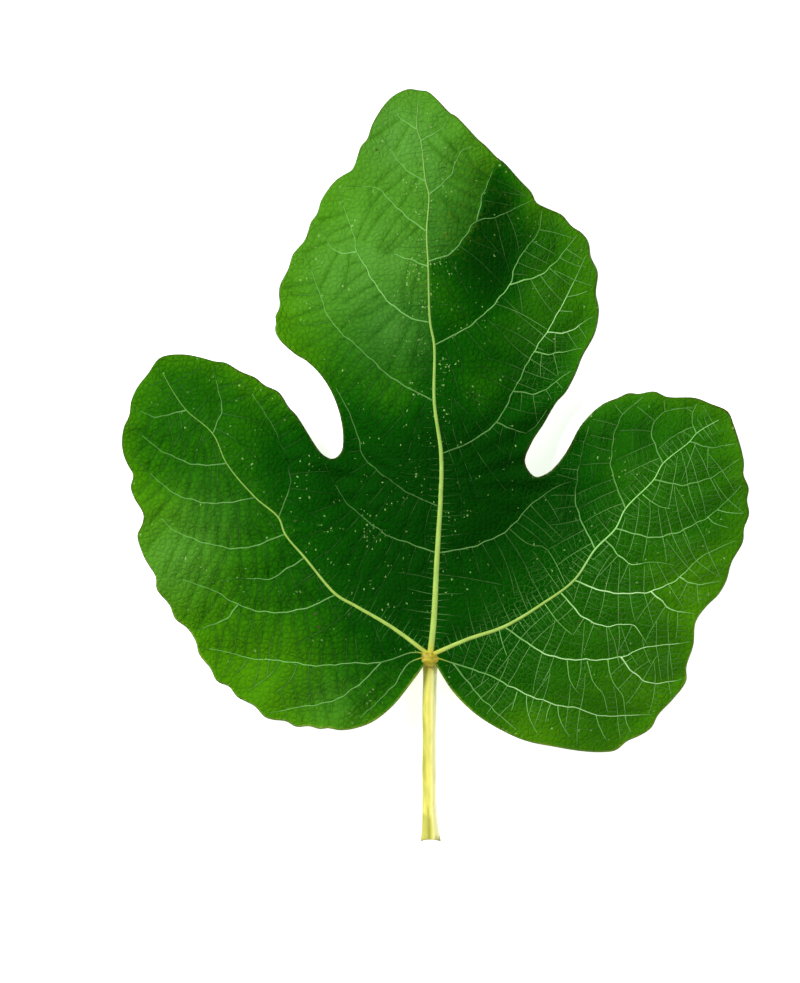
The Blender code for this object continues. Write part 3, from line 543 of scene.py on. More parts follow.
class Relief:
    """The blade's finished faces: the plain form, with grooves along its fine veins."""

    def __init__(self, sizes, rungs):
        self.sizes = sizes
        self.rungs = rungs

    def middle(self, points):
        """Height of the middle of the blade's thickness."""
        plain = underside(points) + BLADE_THICKNESS / 2
        rungs = distance_to_lines(points, self.rungs, 4.0)
        twigs = distance_to_lines(points, TWIG_LINES, 4.0)
        groove = np.exp(-((rungs / GROOVE_WIDTH) ** 2)) + np.exp(-((twigs / GROOVE_WIDTH) ** 2))
        groove = np.minimum(groove, 1.0) * (1.0 - 0.4 * net_strength(points))
        groove = groove * (1.0 - zones(points, GROOVES_CALM))
        free = smooth_step(plain, 0.4, 1.6)
        return plain + free * (self.sizes.crinkle * crinkle(points) - self.sizes.groove * groove)

    def top(self, points):
        return self.middle(points) + self.sizes.thickness / 2


# Fine veins that grow between the ribs


def turned(directions, angles):
    """Flat directions turned to the left by angles in radians."""
    cos, sin = np.cos(angles), np.sin(angles)
    x, y = directions.T
    return np.column_stack([x * cos - y * sin, x * sin + y * cos])


def starts_along(line, spacing, random, hands):
    """Places along a line about spacing apart, with a heading about square to it for each hand."""
    wanted = np.arange(spacing * 0.6, line_length(line) - spacing * 0.3, spacing)
    wanted = wanted + random.uniform(-0.15, 0.15, len(wanted)) * spacing
    places, ahead = places_along(line, wanted), places_along(line, wanted + 0.5)
    along = (ahead - places) / np.maximum(np.linalg.norm(ahead - places, axis=1), 1e-9)[:, None]
    square = [turned(along, hand * np.radians(random.uniform(82.0, 92.0, len(along)))) for hand in hands]
    return np.vstack([places + START_GAP * heading for heading in square]), np.vstack(square)


def starts_on_lines(numbered, spacing, random, hands, keep):
    """Places, headings and line numbers of the starts along numbered lines, where keep allows."""
    found = []
    for number, line in numbered:
        places, headings = starts_along(line, spacing, random, hands(line))
        kept = keep(places)
        found.append((places[kept], headings[kept], np.full(kept.sum(), number)))
    return [np.concatenate(column) for column in zip(*found)]


class Ground:
    """Half-millimetre cells under the leaf. Each holds the number of the line that runs there."""

    def __init__(self):
        low, high = EDGE.min(0) - GROUND_BORDER, EDGE.max(0) + GROUND_BORDER
        self.low = low
        self.cells = np.full(np.ceil((high - low) / GROUND_CELL).astype(int) + 1, FREE)
        self.lines = 0

    def index(self, points):
        return tuple(((points - self.low) / GROUND_CELL).astype(int).T)

    def mark(self, line, reach=1):
        """Takes the cells along a line and those up to reach cells away, and gives its number."""
        self.lines += 1
        for x in range(-reach, reach + 1):
            for y in range(-reach, reach + 1):
                self.cells[self.index(line + np.array([x, y]) * GROUND_CELL)] = self.lines
        return self.lines

    def grow(self, starts, headings, parents, lengths, random, waver=0.02, must_meet=False):
        """Veins that step from their starts and stop where they meet another line.

        Each step adds the heading times the step, and the heading turns a little each time. All
        tips step together. A vein keeps clear of its own start line only after a few steps. With
        must_meet, those that end in the open are left out.
        """
        count = len(starts)
        own = self.lines + 1 + np.arange(count)
        self.lines += count
        bend = random.uniform(-waver, waver, count)
        place, moving = starts.copy(), np.ones(count, bool)
        met = np.zeros(count, bool)
        trail = [place.copy()]
        for number in range(int(lengths.max() / GROW_STEP)):
            headings = turned(headings, bend + random.uniform(-waver, waver, count))
            moving = moving & (number * GROW_STEP < lengths)
            place = place + headings * GROW_STEP * moving[:, None]
            found = self.cells[self.index(place)]
            leaving = (found == parents) & (number * GROW_STEP < GROW_FREE)
            met |= moving & (found != FREE) & (found != own) & ~leaving
            moving = moving & ((found == FREE) | (found == own) | leaving)
            clear = moving & ~leaving
            self.cells[tuple(side[clear] for side in self.index(place))] = own[clear]
            trail.append(place.copy())
        trail = np.stack(trail, axis=1)
        moved = np.linalg.norm(np.diff(trail, axis=1), axis=2) > WELD
        veins = [line[np.r_[True, steps]] for line, steps in zip(trail, moved)]
        kept = [number for number, vein in enumerate(veins)
                if len(vein) > GROW_FEWEST and (met[number] or not must_meet)]
        return [veins[number] for number in kept], own[kept]


def rung_hands(line):
    """Rungs leave a side rib towards the hub, and one that runs straight out on both sides."""
    middle, along = line[len(line) // 2], line[-1] - line[0]
    if abs(np.dot(along, middle)) > STRAIGHT_OUT * np.linalg.norm(along) * np.linalg.norm(middle):
        return 1.0, -1.0
    return (np.sign(along[0] * -middle[1] - along[1] * -middle[0]) or 1.0,)


@functools.lru_cache(maxsize=1)
def fine_veins(spacing, seed):
    """Teeth along the main ribs, rungs between side ribs, and cross veins between the rungs."""
    random = np.random.default_rng(seed)
    ground = Ground()
    ground.mark(even_points(EDGE, 6 * len(EDGE)), reach=2)
    main, side = [
        [(ground.mark(line), line) for line in [smooth_line(route, GROUND_CELL / 2) for route in routes]]
        for routes in (MAIN_ROUTES, SIDE_RIBS)
    ]
    for route in TWIGS:
        ground.mark(smooth_line(route, GROUND_CELL / 2), reach=0)

    tips = np.array([line[-1] for _, line in side])
    ahead = np.array([line[-1] - line[-8] for _, line in side])
    ahead = ahead / np.linalg.norm(ahead, axis=1)[:, None]
    parents = np.array([number for number, _ in side])
    ends, _ = ground.grow(tips, ahead, parents, random.uniform(4.0, 9.0, len(tips)), random, waver=0.03)

    starts = starts_on_lines(side, spacing, random, rung_hands,
                             lambda places: distance_to_lines(places, TWIG_LINES, 3.0) > 1.6)
    rungs, numbers = ground.grow(*starts, random.uniform(9.0, 18.0, len(starts[0])), random)

    starts = starts_on_lines(main, TOOTH_SPACING, random, lambda line: (1.0, -1.0),
                             lambda places: np.ones(len(places), bool))
    fade = 1.0 - 0.5 * np.linalg.norm(starts[0], axis=1) / BLADE_REACH
    lengths = np.where(np.arange(len(fade)) % 3 == 0, random.uniform(7.0, 15.0, len(fade)),
                       random.uniform(2.6, 5.0, len(fade)))
    teeth, tooth_numbers = ground.grow(*starts, lengths * fade, random, waver=0.012)

    crossed = [(number, line) for number, line in zip([*numbers, *tooth_numbers], rungs + teeth)
               if line_length(line) >= CROSS_SPACING * 2]
    starts = starts_on_lines(crossed, CROSS_SPACING, random, lambda line: (1.0,),
                             lambda places: net_strength(places) > 0.4)
    crosses, _ = ground.grow(*starts, random.uniform(3.5, 6.0, len(starts[0])), random,
                             waver=0.04, must_meet=True)
    return {"rungs": rungs, "twigs": TWIG_LINES, "rib_ends": ends, "comb_teeth": teeth,
            "cross_veins": crosses}


# Meshes


def mesh_object(name, points, faces, attributes=None):
    """A welded mesh piece whose points are in millimetres from the hub. Faces point outwards."""
    mesh = bpy.data.meshes.new(name)
    place = np.column_stack([points[:, :2] + HUB, points[:, 2]]) * MM
    place = np.clip(place, CAD_LOW, CAD_HIGH)
    mesh.from_pydata(place, [], faces)
    for label, values in (attributes or {}).items():
        layer = mesh.attributes.new(label, "FLOAT", "POINT")
        layer.data.foreach_set("value", np.asarray(values, np.float32))
    shape = bmesh.new()
    shape.from_mesh(mesh)
    bmesh.ops.remove_doubles(shape, verts=shape.verts, dist=WELD)
    bmesh.ops.recalc_face_normals(shape, faces=shape.faces)
    shape.to_mesh(mesh)
    shape.free()
    mesh.shade_smooth()
    piece = bpy.data.objects.new(name, mesh)
    bpy.context.scene.collection.objects.link(piece)
    return piece


def finish_piece(piece, material, node):
    """Gives a piece its material and its slot, and puts it in the place of a plain node."""
    piece.data.materials.append(material)
    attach(piece, "root")
    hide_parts(node)


def grid_faces(rows, columns, start=0, wrap=False, flip=False):
    """Four-cornered faces of a grid of points. With wrap, the last column meets the first."""
    index = start + np.arange(rows * columns).reshape(rows, columns)
    right = np.roll(index, -1, axis=1) if wrap else index[:, 1:]
    left = index if wrap else index[:, :-1]
    faces = np.stack([left[:-1], right[:-1], right[1:], left[1:]], -1).reshape(-1, 4)
    return faces[:, ::-1] if flip else faces


def ridges(relief, lines, half_widths, heights, sunk):
    """Low ridges on the upper face. Each section is a half round, closed below the face.

    At share t round the section, the point lies w cos(pi t) to the side and h sin(pi t) above
    the face. half_widths and heights have a row for each line and a column for each section.
    """
    count, sides = half_widths.shape[1], RIDGE_SIDES + 1
    lines = np.stack([even_points(line, count) for line in lines])
    along = np.gradient(lines, axis=1)
    side = np.stack([-along[..., 1], along[..., 0]], -1)
    side /= np.maximum(np.linalg.norm(side, axis=2, keepdims=True), 1e-9)
    turn = np.linspace(0.0, np.pi, RIDGE_SIDES)
    spread, rise = np.append(np.cos(turn), 0.0), np.append(np.sin(turn), 0.0)
    flat = lines[:, :, None] + side[:, :, None] * (half_widths[..., None] * spread)[..., None]
    height = relief.top(flat.reshape(-1, 2)).reshape(flat.shape[:3]) + heights[..., None] * rise
    height[..., [0, RIDGE_SIDES - 1]] -= SKIRT
    height[..., -1] -= sunk
    points = np.concatenate([flat, height[..., None]], -1).reshape(-1, 3)
    starts = np.arange(len(lines)) * count * sides
    quads = (grid_faces(count, sides, wrap=True)[None] + starts[:, None, None]).reshape(-1, 4)
    first = starts[:, None] + np.arange(sides)[None]
    last = first + (count - 1) * sides
    return points, quads.tolist() + first[:, ::-1].tolist() + last.tolist()


def at_ridge_points(share, lines):
    """The share along its line for each point that ridges gives."""
    return np.repeat(np.tile(share, lines), RIDGE_SIDES + 1)


# The pieces


def split_edge():
    """The edge's stretches, each from its start towards the tip of a lobe."""
    def at(place):
        return int(np.argmin(np.linalg.norm(EDGE - place, axis=1)))

    left_tip, left_dip, apex = at(LEFT_TIP), at(LEFT_DIP), at(APEX)
    right_dip, right_tip = at(RIGHT_DIP), at(RIGHT_TIP)
    return {
        "left_lower": EDGE[: left_tip + 1],
        "left_upper": EDGE[left_tip : left_dip + 1][::-1],
        "middle_left": EDGE[left_dip : apex + 1],
        "middle_right": EDGE[apex : right_dip + 1][::-1],
        "right_upper": EDGE[right_dip : right_tip + 1],
        "right_lower": EDGE[right_tip:][::-1],
    }


def rib_to_tip(route, tip, hub_share, rows):
    """A main rib as two stretches of points: level with the sinus, and from there to the tip."""
    fine = smooth_line([*route, tip], FINE_STEP)
    fine[-1] = tip
    turn = int(round(hub_share * (len(fine) - 1)))
    return np.vstack([even_points(fine[: turn + 1], HUB_ROWS + 1)[:-1],
                      even_points(fine[turn:], rows + 1)])


def blade_patches():
    """Six sheets, one on each side of each main rib: rib points, edge points, columns, seam rows."""
    edges = split_edge()
    hub = np.zeros((1, 2))
    tips = [edges["middle_left"][-1], edges["left_upper"][-1], edges["right_upper"][-1]]
    middle = rib_to_tip(MIDRIB[2], tips[0], 0.33, MIDDLE_ROWS)
    left = rib_to_tip(LEFT_RIB[2], tips[1], 0.5, SIDE_ROWS)
    right = rib_to_tip(RIGHT_RIB[2], tips[2], 0.5, SIDE_ROWS)
    patches = []
    for name, rib, rows in (
        ("middle_left", middle, MIDDLE_ROWS), ("middle_right", middle, MIDDLE_ROWS),
        ("left_upper", left, SIDE_ROWS), ("right_upper", right, SIDE_ROWS),
    ):
        edge = edges[name]
        seam = even_points(np.vstack([hub, edge[:1]]), HUB_ROWS + 1)[:-1]
        border = np.vstack([seam, even_points(edge, rows + 1)])
        columns = WIDE_COLUMNS if rib is middle else NARROW_COLUMNS
        patches.append((rib, border, columns, HUB_ROWS))
    for name, rib in (("left_lower", left), ("right_lower", right)):
        border = even_points(np.vstack([hub, edges[name]]), len(rib))
        patches.append((rib, border, WIDE_COLUMNS, 0))
    return patches


def right_of_midrib(points):
    rib_x = np.interp(points[:, 1], MAIN_LINES[0][:, 1], MAIN_LINES[0][:, 0])
    return smooth_step(points[:, 0] - rib_x, -0.6, 0.6)


def tones(points):
    """How light the upper face is, 0 to 1: dark in the middle, lighter to the edge and tip, with painted
    light on the left half of the middle lobe and painted shade past the fold.
    """
    to_edge = distance_to_line(points, EDGE[::3])
    from_middle = np.linalg.norm((points - (4.0, 42.0)) / (1.0, 1.3), axis=1)
    tone = 0.08 + 0.5 * smooth_step(from_middle, 8.0, 62.0)
    tone += 0.25 * np.exp(-((to_edge / 5.0) ** 1.3)) * smooth_step(from_middle, 26.0, 56.0)
    right_side = right_of_midrib(points)
    painted_left_light = zones(points, PAINTED_LIGHT_ZONES)
    tone += zones(points, TONE_ZONES) + painted_left_light * (1.0 - 0.8 * right_side)
    # Painted shade where the blade turns down to the right past the fold line, weaker near the midrib and
    # the tip
    side, to_fold = fold_side(points)
    shade = smooth_step(side * to_fold, -0.4, 1.2) * smooth_step(points[:, 1], 84.0, 106.0)
    inner = 1.0 - smooth_step(points[:, 0], 15.0, 29.0)
    inner = inner * (0.35 + 0.65 * smooth_step(points[:, 0], 2.0, 13.0))
    shade = shade * right_side * inner * (1.0 - smooth_step(points[:, 1], 128.0, 134.0))
    return np.clip(tone - 0.5 * shade, 0.0, 1.0), to_edge


def painted_sheen_amount(points):
    """The painted sheen, cut off at the midrib where the blade turns down to the right."""
    cut = right_of_midrib(points) * smooth_step(points[:, 1], 56.0, 62.0)
    side, to_fold = fold_side(points)
    cut = cut * np.maximum(smooth_step(side * to_fold, -1.0, 1.0), points[:, 1] < 103.0)
    return np.clip(zones(points, PAINTED_SHEEN_ZONES), 0.0, 1.0) * (1.0 - cut)


def blade_sheets(column_share):
    """The six sheets on the flat: their points, which of them lie on the free rim, and the faces.

    A sheet's point (i, j) is rib(i) (1 - s) + edge(i) s, where s = t (1.35 - 0.35 t) and
    t = j / columns.
    """
    flats, rims, faces, start = [], [], [], 0
    for rib, border, columns, seam_rows in blade_patches():
        share = np.linspace(0.0, 1.0, round(columns * column_share) + 1)[None, :, None]
        share = share * (1.35 - 0.35 * share)
        flat = rib[:, None] * (1.0 - share) + border[:, None] * share
        rim = np.zeros(flat.shape[:2], bool)
        rim[seam_rows:, -1] = True
        rim[-1] = True
        flats.append(flat.reshape(-1, 2))
        rims.append(rim.ravel())
        faces.append(grid_faces(*flat.shape[:2], start=start))
        start += rim.size
    return np.vstack(flats), np.concatenate(rims), np.vstack(faces)


def make_blade(settings):
    """The blade: sheets ruled from each main rib to the edge, on both faces, joined at the rim.

    The thickness rises from the edge as a quarter round.
    """
    relief = settings.relief
    points, faces, values, start = [], [], [], 0
    for side, column_share in ((1.0, 1.0), (-1.0, LOWER_FACE_SHARE)):
        flat, rim, quads = blade_sheets(column_share)
        middle = relief.middle(flat)
        tone, to_edge = tones(flat)
        round_edge = np.clip(to_edge / EDGE_ROUND, 0.0, 1.0)
        half = settings.sizes.thickness / 2 * np.sqrt(1.0 - (1.0 - round_edge) ** 2)
        half[rim | (np.abs(flat).max(1) < WELD)] = 0.0
        points.append(np.column_stack([flat, middle + side * half]))
        faces.append((quads if side > 0 else quads[:, ::-1]) + start)
        values.append({
            "tone": tone,
            "painted_sheen": painted_sheen_amount(flat),
            "rust": zones(flat, RUST_ZONES),
            "edge_mm": to_edge,
            "pale_rim": 1.0 - smooth_step(flat[:, 1], -8.0, 40.0),
            "groove_mm": distance_to_lines(flat, relief.rungs + TWIG_LINES, 3.0),
            "net": net_strength(flat),
            "speckle": speck_strength(flat),
            "upper": np.full(len(flat), float(side > 0)),
        })
        start += len(flat)
    values = {name: np.concatenate([value[name] for value in values]) for name in values[0]}
    blade = mesh_object("blade", np.vstack(points), np.vstack(faces).tolist(), values)
    finish_piece(blade, blade_material(settings), "leaf_blade")


def net_strength(points):
    """Where the fine net shows pale: below the right rib, and on the right of the middle lobe."""
    right_lobe = smooth_step(points[:, 0] - 0.35 * (points[:, 1] - 30.0), 12.0, 34.0)
    right_lobe = right_lobe * (1.0 - smooth_step(points[:, 1], 60.0, 80.0))
    rib = MAIN_LINES[2]
    under_rib = np.interp(points[:, 0], rib[:, 0], rib[:, 1]) - points[:, 1]
    right_lobe = right_lobe * (0.3 + 0.7 * smooth_step(under_rib, -16.0, 0.0))
    middle_lobe = smooth_step(points[:, 0], 16.0, 32.0) * smooth_step(points[:, 1], 55.0, 75.0)
    left = zones(points, [((-62.0, 66.0), 16.0, 0.14), ((-45.0, -12.0), 14.0, 0.3)])
    return np.clip(0.14 + right_lobe + 0.75 * middle_lobe + left, 0.0, 1.0)


def speck_strength(points):
    """Pale specks are thick along the upper midrib and in the middle of the blade."""
    rib_x = np.interp(points[:, 1], MAIN_LINES[0][:, 1], MAIN_LINES[0][:, 0])
    along = np.exp(-(((points[:, 0] - rib_x) / 7.5) ** 2)) * smooth_step(points[:, 1], 48.0, 60.0)
    along = along * (1.0 - smooth_step(points[:, 1], 120.0, 132.0))
    return np.clip(0.13 + along + zones(points, [((-14.0, 38.0), 20.0, 0.6)]), 0.0, 1.0)


def rod(middle, radii, sides):
    """A tapered round rod along a line in space: middle + r (side cos a + up sin a)."""
    along = np.gradient(middle, axis=0)
    along /= np.linalg.norm(along, axis=1)[:, None]
    side = np.cross(along, (0.0, 0.0, 1.0))
    side /= np.linalg.norm(side, axis=1)[:, None]
    up = np.cross(side, along)
    turn = np.linspace(0.0, 2 * np.pi, sides, endpoint=False)
    ring = side[:, None] * np.cos(turn)[None, :, None] + up[:, None] * np.sin(turn)[None, :, None]
    points = middle[:, None] + ring * np.asarray(radii)[..., None, None]
    faces = grid_faces(len(middle), sides, wrap=True, flip=True).tolist()
    count = len(middle) * sides
    faces.append(list(range(sides)))
    faces.append(list(range(count - 1, count - sides - 1, -1)))
    return points.reshape(-1, 3), faces


def join(parts):
    """Several (points, faces) as one."""
    points, faces, start = [], [], 0
    for place, face in parts:
        points.append(place)
        faces += [[corner + start for corner in f] for f in face]
        start += len(place)
    return np.vstack(points), faces


def under_rods(relief, routes, radii, sides):
    """The ribs as they stand out under the blade, thinner where the blade comes close to the floor."""
    parts = []
    for route, (thick, thin) in zip(routes, radii):
        line = smooth_line(route, ROD_STEP)
        middle = relief.middle(line) - relief.sizes.thickness / 2
        radius = np.linspace(thick, thin, len(line))
        radius = np.minimum(radius, np.maximum(middle - 0.05, 0.02) / 1.8)
        radius[-1] *= 0.3
        radius[-2] *= 0.75
        place = np.column_stack([line, middle - ROD_SUNK * radius])
        parts.append(rod(place, radius, sides))
    return join(parts)


def make_ribs(settings):
    """Main and side ribs: rods under the blade, and pale bands on its upper face."""
    relief = settings.relief
    main_radii = [(thick * 1.1, thin) for thick, thin, _ in MAIN_RIBS]
    for name, routes, radii, sides, pale in (
        ("main_ribs_below", MAIN_ROUTES, main_radii, 14, 0.8),
        ("side_ribs_below", SIDE_RIBS, [SIDE_RIB_RADII] * len(SIDE_RIBS), 8, 0.6),
    ):
        points, faces = under_rods(relief, routes, radii, sides)
        piece = mesh_object(name, points, faces, {"pale": np.full(len(points), pale)})
        finish_piece(piece, rib_material(settings), "leaf_stalk_and_ribs")

    lines = [smooth_line(route, RIDGE_STEP) for route in MAIN_ROUTES]
    share = np.linspace(0.0, 1.0, 150)
    widths = np.stack([np.interp(share, *known) for known in RIB_WIDTHS])
    points, faces = ridges(relief, lines, widths, 0.3 * widths + 0.1, sunk=0.25)
    flat, along = points[:, :2], at_ridge_points(share, len(lines))
    outer = smooth_step(along, 0.36, 0.62) * smooth_step(flat[:, 0], 14.0, 26.0)
    values = {"pale": 1.0 - 0.85 * along**0.8, "outer": outer, "gold": gold_amount(flat)}
    piece = mesh_object("main_ribs_above", points, faces, values)
    finish_piece(piece, rib_material(settings), "leaf_stalk_and_ribs")

    lines = [kinked(smooth_line(route, RIDGE_STEP), number) for number, route in enumerate(SIDE_RIBS)]
    widths = np.tile(0.22 * (1.0 - 0.62 * np.linspace(0.0, 1.0, 36)), (len(lines), 1))
    points, faces = ridges(relief, lines, widths, 0.35 * widths + 0.07, sunk=0.2)
    flat = points[:, :2]
    values = {"pale": side_paleness(flat), "tone": tones(flat)[0], "painted_sheen": painted_sheen_amount(flat),
              "gold": gold_amount(flat)}
    piece = mesh_object("side_ribs_above", points, faces, values)
    finish_piece(piece, vein_material(settings), "leaf_stalk_and_ribs")


def gold_amount(points):
    """The ribs take the knot's golden brown where they leave it."""
    return np.exp(-((np.linalg.norm(points - (0.0, -0.8), axis=1) / GOLD_REACH) ** 2))


def kinked(line, phase):
    """A line that leaves its course a little: two sine waves to the side, none at its ends."""
    along = np.gradient(line, axis=0)
    along /= np.linalg.norm(along, axis=1)[:, None]
    travelled = np.arange(len(line))
    sway = 0.16 * np.sin(1.5 * travelled + phase) + 0.14 * np.sin(0.83 * travelled + 2.0 * phase)
    sway = sway * np.sin(np.pi * travelled / (len(line) - 1))
    sway = sway * smooth_step(np.linalg.norm(line, axis=1), 2.0, 18.0)
    return line + sway[:, None] * np.column_stack([-along[:, 1], along[:, 0]])


def side_paleness(points):
    """How pale the side ribs are: bright at the lower and upper right, dull in the middle."""
    return np.clip(0.33 + zones(points, PALE_ZONES), 0.04, 1.0)


def make_fine_veins(settings):
    """Rungs, twigs, teeth and cross veins on the upper face, as ridges of a few faces each."""
    for name, (width, count, height, paleness) in FINE_VEINS.items():
        lines, share = settings.veins[name], np.linspace(0.0, 1.0, count)
        widths = np.tile(width * (1.0 - 0.45 * share), (len(lines), 1))
        heights = np.full_like(widths, height)
        points, faces = ridges(settings.relief, lines, widths, heights, sunk=0.15)
        flat = points[:, :2]
        pale = net_strength(flat)
        if name == "comb_teeth":
            near_hub = np.exp(-((np.linalg.norm(flat, axis=1) / 42.0) ** 2))
            left = 1.0 - 0.4 * smooth_step(-flat[:, 0], 2.0, 12.0)
            pale = np.maximum(pale, left * near_hub * (1.0 - at_ridge_points(share, len(lines))))
        values = {"pale": pale * paleness, "tone": tones(flat)[0], "painted_sheen": painted_sheen_amount(flat)}
        piece = mesh_object(name, points, faces, values)
        finish_piece(piece, vein_material(settings), "leaf_blade")


def stalk_line(count):
    """The stalk's middle line and radius at even steps from the foot to the hub."""
    route = np.array([place for place, _ in STALK])
    radii = np.array([radius for _, radius in STALK])
    y = np.linspace(STALK_FOOT_Y, route[-1, 1], count)
    share = (y - STALK_FOOT_Y) / -STALK_FOOT_Y
    rise = HUB_HEIGHT - STALK_TOP_DEPTH - radii[0]
    height = radii[0] + rise * share**STALK_RISE_POWER
    x, radius = np.interp(y, route[:, 1], route[:, 0]), np.interp(y, route[:, 1], radii)
    smooth = np.convolve(np.pad(radius, 4, "edge"), np.ones(9) / 9, "valid")
    return np.column_stack([x, y, height]), smooth


def make_stalk(settings):
    """The stalk: a round rod with faint lengthwise ribs, and a hollowed, cut foot with a thin rim."""
    rows, sides = 130, 48
    middle, radius = stalk_line(rows)
    turn = np.linspace(0.0, 2 * np.pi, sides, endpoint=False)
    share = np.linspace(0.0, 1.0, rows)[:, None]
    ribs = 0.022 * np.sin(7 * turn[None] + 2.0 * share) + 0.018 * np.sin(3 * turn[None] - 5.0 * share)
    lumps = 0.03 * np.sin(19.0 * share + np.sin(turn)[None] * 1.4) * np.sin(np.pi * share)
    wall = radius[:, None] * (1.0 + ribs + lumps)
    dish_rows = 9
    inner = np.linspace(1.0, 0.0, dish_rows)[:, None]
    dish = wall[:1] * (DISH_WIDTH * inner)
    depth = DISH_DEPTH * (1.0 - inner**2) * np.ones_like(dish)
    side, up = np.cos(turn), np.sin(turn)
    drawn_back = CUT_NOTCH * up**2
    rings = np.stack([
        middle[:, 0, None] + wall * side,
        middle[:, 1, None] + drawn_back * np.exp(-0.35 * np.arange(rows))[:, None],
        np.maximum(middle[:, 2, None] + wall * up, 0.0),
    ], -1)
    foot = middle[0]
    hollow = np.stack([
        foot[0] + dish * side, foot[1] + depth + drawn_back * inner,
        np.maximum(foot[2] + dish * up, 0.0),
    ], -1)
    points = np.vstack([hollow[::-1].reshape(-1, 3), rings.reshape(-1, 3)])
    total = rows + dish_rows
    faces = grid_faces(total, sides, wrap=True).tolist()
    faces.append(list(range(total * sides - 1, (total - 1) * sides - 1, -1)))
    along = np.r_[np.zeros(dish_rows), np.linspace(0.0, 1.0, rows)]
    left = np.tile(0.5 - 0.5 * side, total)
    corners = np.exp(-0.7 * np.arange(rows))[:, None] * side**2
    cut = np.vstack([np.linspace(0.35, 1.0, dish_rows)[:, None] * np.ones(sides), corners])
    piece = mesh_object("stalk", points, faces, {
        "along": np.repeat(along, sides), "cut": cut.ravel(), "left": left,
    })
    finish_piece(piece, stalk_material(settings), "leaf_stalk_and_ribs")


def make_hub(settings):
    """The knot at the hub: a flattened ball with soft lobes towards the ribs.

    At angle a its radius is 2.3 (1 + 0.05 cos (5a + 0.6)). It is a fifth wider across the leaf,
    and its height is 1.7 either side of its middle.
    """
    rows, sides = 22, 48
    turn = np.linspace(0.0, 2 * np.pi, sides, endpoint=False)[None]
    tilt = np.linspace(-np.pi / 2, np.pi / 2, rows)[:, None]
    reach = KNOT_RADIUS * (1.0 + 0.05 * np.cos(5 * turn + 0.6)) * np.cos(tilt)
    height = HUB_HEIGHT - KNOT_DROP + KNOT_HALF_HEIGHT * np.sin(tilt)
    height = height + 0.05 * np.cos(9 * turn) * np.cos(tilt)
    points = np.stack([KNOT_STRETCH * reach * np.cos(turn), reach * np.sin(turn) - KNOT_DROP, height], -1)
    faces = grid_faces(rows, sides, wrap=True).tolist()
    piece = mesh_object("hub_knot", points.reshape(-1, 3), faces)
    finish_piece(piece, hub_material(settings), "leaf_stalk_and_ribs")


def make_spots(settings):
    """Brown spots: low round domes on the upper face, each of a few faces."""
    random = np.random.default_rng(settings.sizes.seed + 2)
    centres = np.array(BROWN_SPOTS)
    radii = random.uniform(0.28, 0.5, len(centres))
    rings = np.array([1.0, 0.6, 0.0])
    turn = np.linspace(0.0, 2 * np.pi, 9, endpoint=False)
    wobble = 1.0 + 0.25 * np.sin(2 * turn[None] + random.uniform(0, 6.0, (len(centres), 1)))
    reach = radii[:, None, None] * rings[None, :, None] * wobble[:, None]
    flat = centres[:, None, None] + reach[..., None] * np.stack([np.cos(turn), np.sin(turn)], -1)
    lift = np.array([-0.05, 0.03, 0.05])[None, :, None]
    height = settings.relief.top(flat.reshape(-1, 2)).reshape(flat.shape[:3]) + lift
    top = np.concatenate([flat, height[..., None]], -1)
    faces = []
    size = len(rings) * len(turn)
    for number in range(len(centres)):
        start = number * size
        faces += grid_faces(len(rings), len(turn), start=start, wrap=True).tolist()
        faces.append(list(range(start + len(turn) - 1, start - 1, -1)))
    piece = mesh_object("brown_spots", top.reshape(-1, 3), faces)
    finish_piece(piece, spot_material(settings), "leaf_blade")


# Materials


def solid(colour):
    return (*colour[:3], 1.0)


def feed(tree, socket, value):
    """Links a value from another node to a socket, or sets it. A plain colour becomes opaque."""
    if isinstance(value, bpy.types.NodeSocket):
        tree.links.new(value, socket)
    else:
        socket.default_value = solid(value) if socket.type == "RGBA" else value


def add(tree, kind, inputs=None, **settings):
    """A shader node with its settings and its inputs."""
    node = tree.nodes.new("ShaderNode" + kind)
    for name, value in settings.items():
        setattr(node, name, value)
    for name, value in (inputs or {}).items():
        feed(tree, node.inputs[name], value)
    return node


def attribute(tree, name):
    return add(tree, "Attribute", attribute_name=name).outputs["Fac"]


def calculate(tree, operation, *values, clamp=False):
    return add(tree, "Math", dict(enumerate(values)), operation=operation, use_clamp=clamp).outputs[0]


def times(tree, *values):
    """The product of several values."""
    return functools.reduce(functools.partial(calculate, tree, "MULTIPLY"), values)


def blend_colours(tree, share, first, second):
    return add(tree, "Mix", {0: share, 6: first, 7: second}, data_type="RGBA").outputs[2]


def spread(tree, value, low, high, to_low=0.0, to_high=1.0):
    """A value's place between low and high, as a value between to_low and to_high."""
    node = add(tree, "MapRange", {"Value": value, "From Min": low, "From Max": high,
                                  "To Min": to_low, "To Max": to_high}, clamp=True)
    return node.outputs["Result"]


def new_group(name, inputs, outputs):
    """An empty node group with float inputs and their defaults, and float outputs."""
    tree = bpy.data.node_groups.new(name, "ShaderNodeTree")
    for label, default in inputs.items():
        socket = tree.interface.new_socket(label, in_out="INPUT", socket_type="NodeSocketFloat")
        socket.default_value = default
    for label in outputs:
        tree.interface.new_socket(label, in_out="OUTPUT", socket_type="NodeSocketFloat")
    return tree, tree.nodes.new("NodeGroupInput"), tree.nodes.new("NodeGroupOutput")


def warped_place(tree, scale, reach, middle):
    """The place on the piece in metres, moved by reach times the noise less its middle."""
    place = add(tree, "TexCoord").outputs["Object"]
    noise = add(tree, "TexNoise", {"Vector": place, "Scale": scale, "Detail": 2.0}).outputs["Color"]
    centred = add(tree, "VectorMath", {0: noise, 1: (middle,) * 3}, operation="SUBTRACT").outputs[0]
    shift = add(tree, "VectorMath", {0: centred, "Scale": reach}, operation="SCALE").outputs[0]
    return add(tree, "VectorMath", {0: place, 1: shift}, operation="ADD").outputs[0]


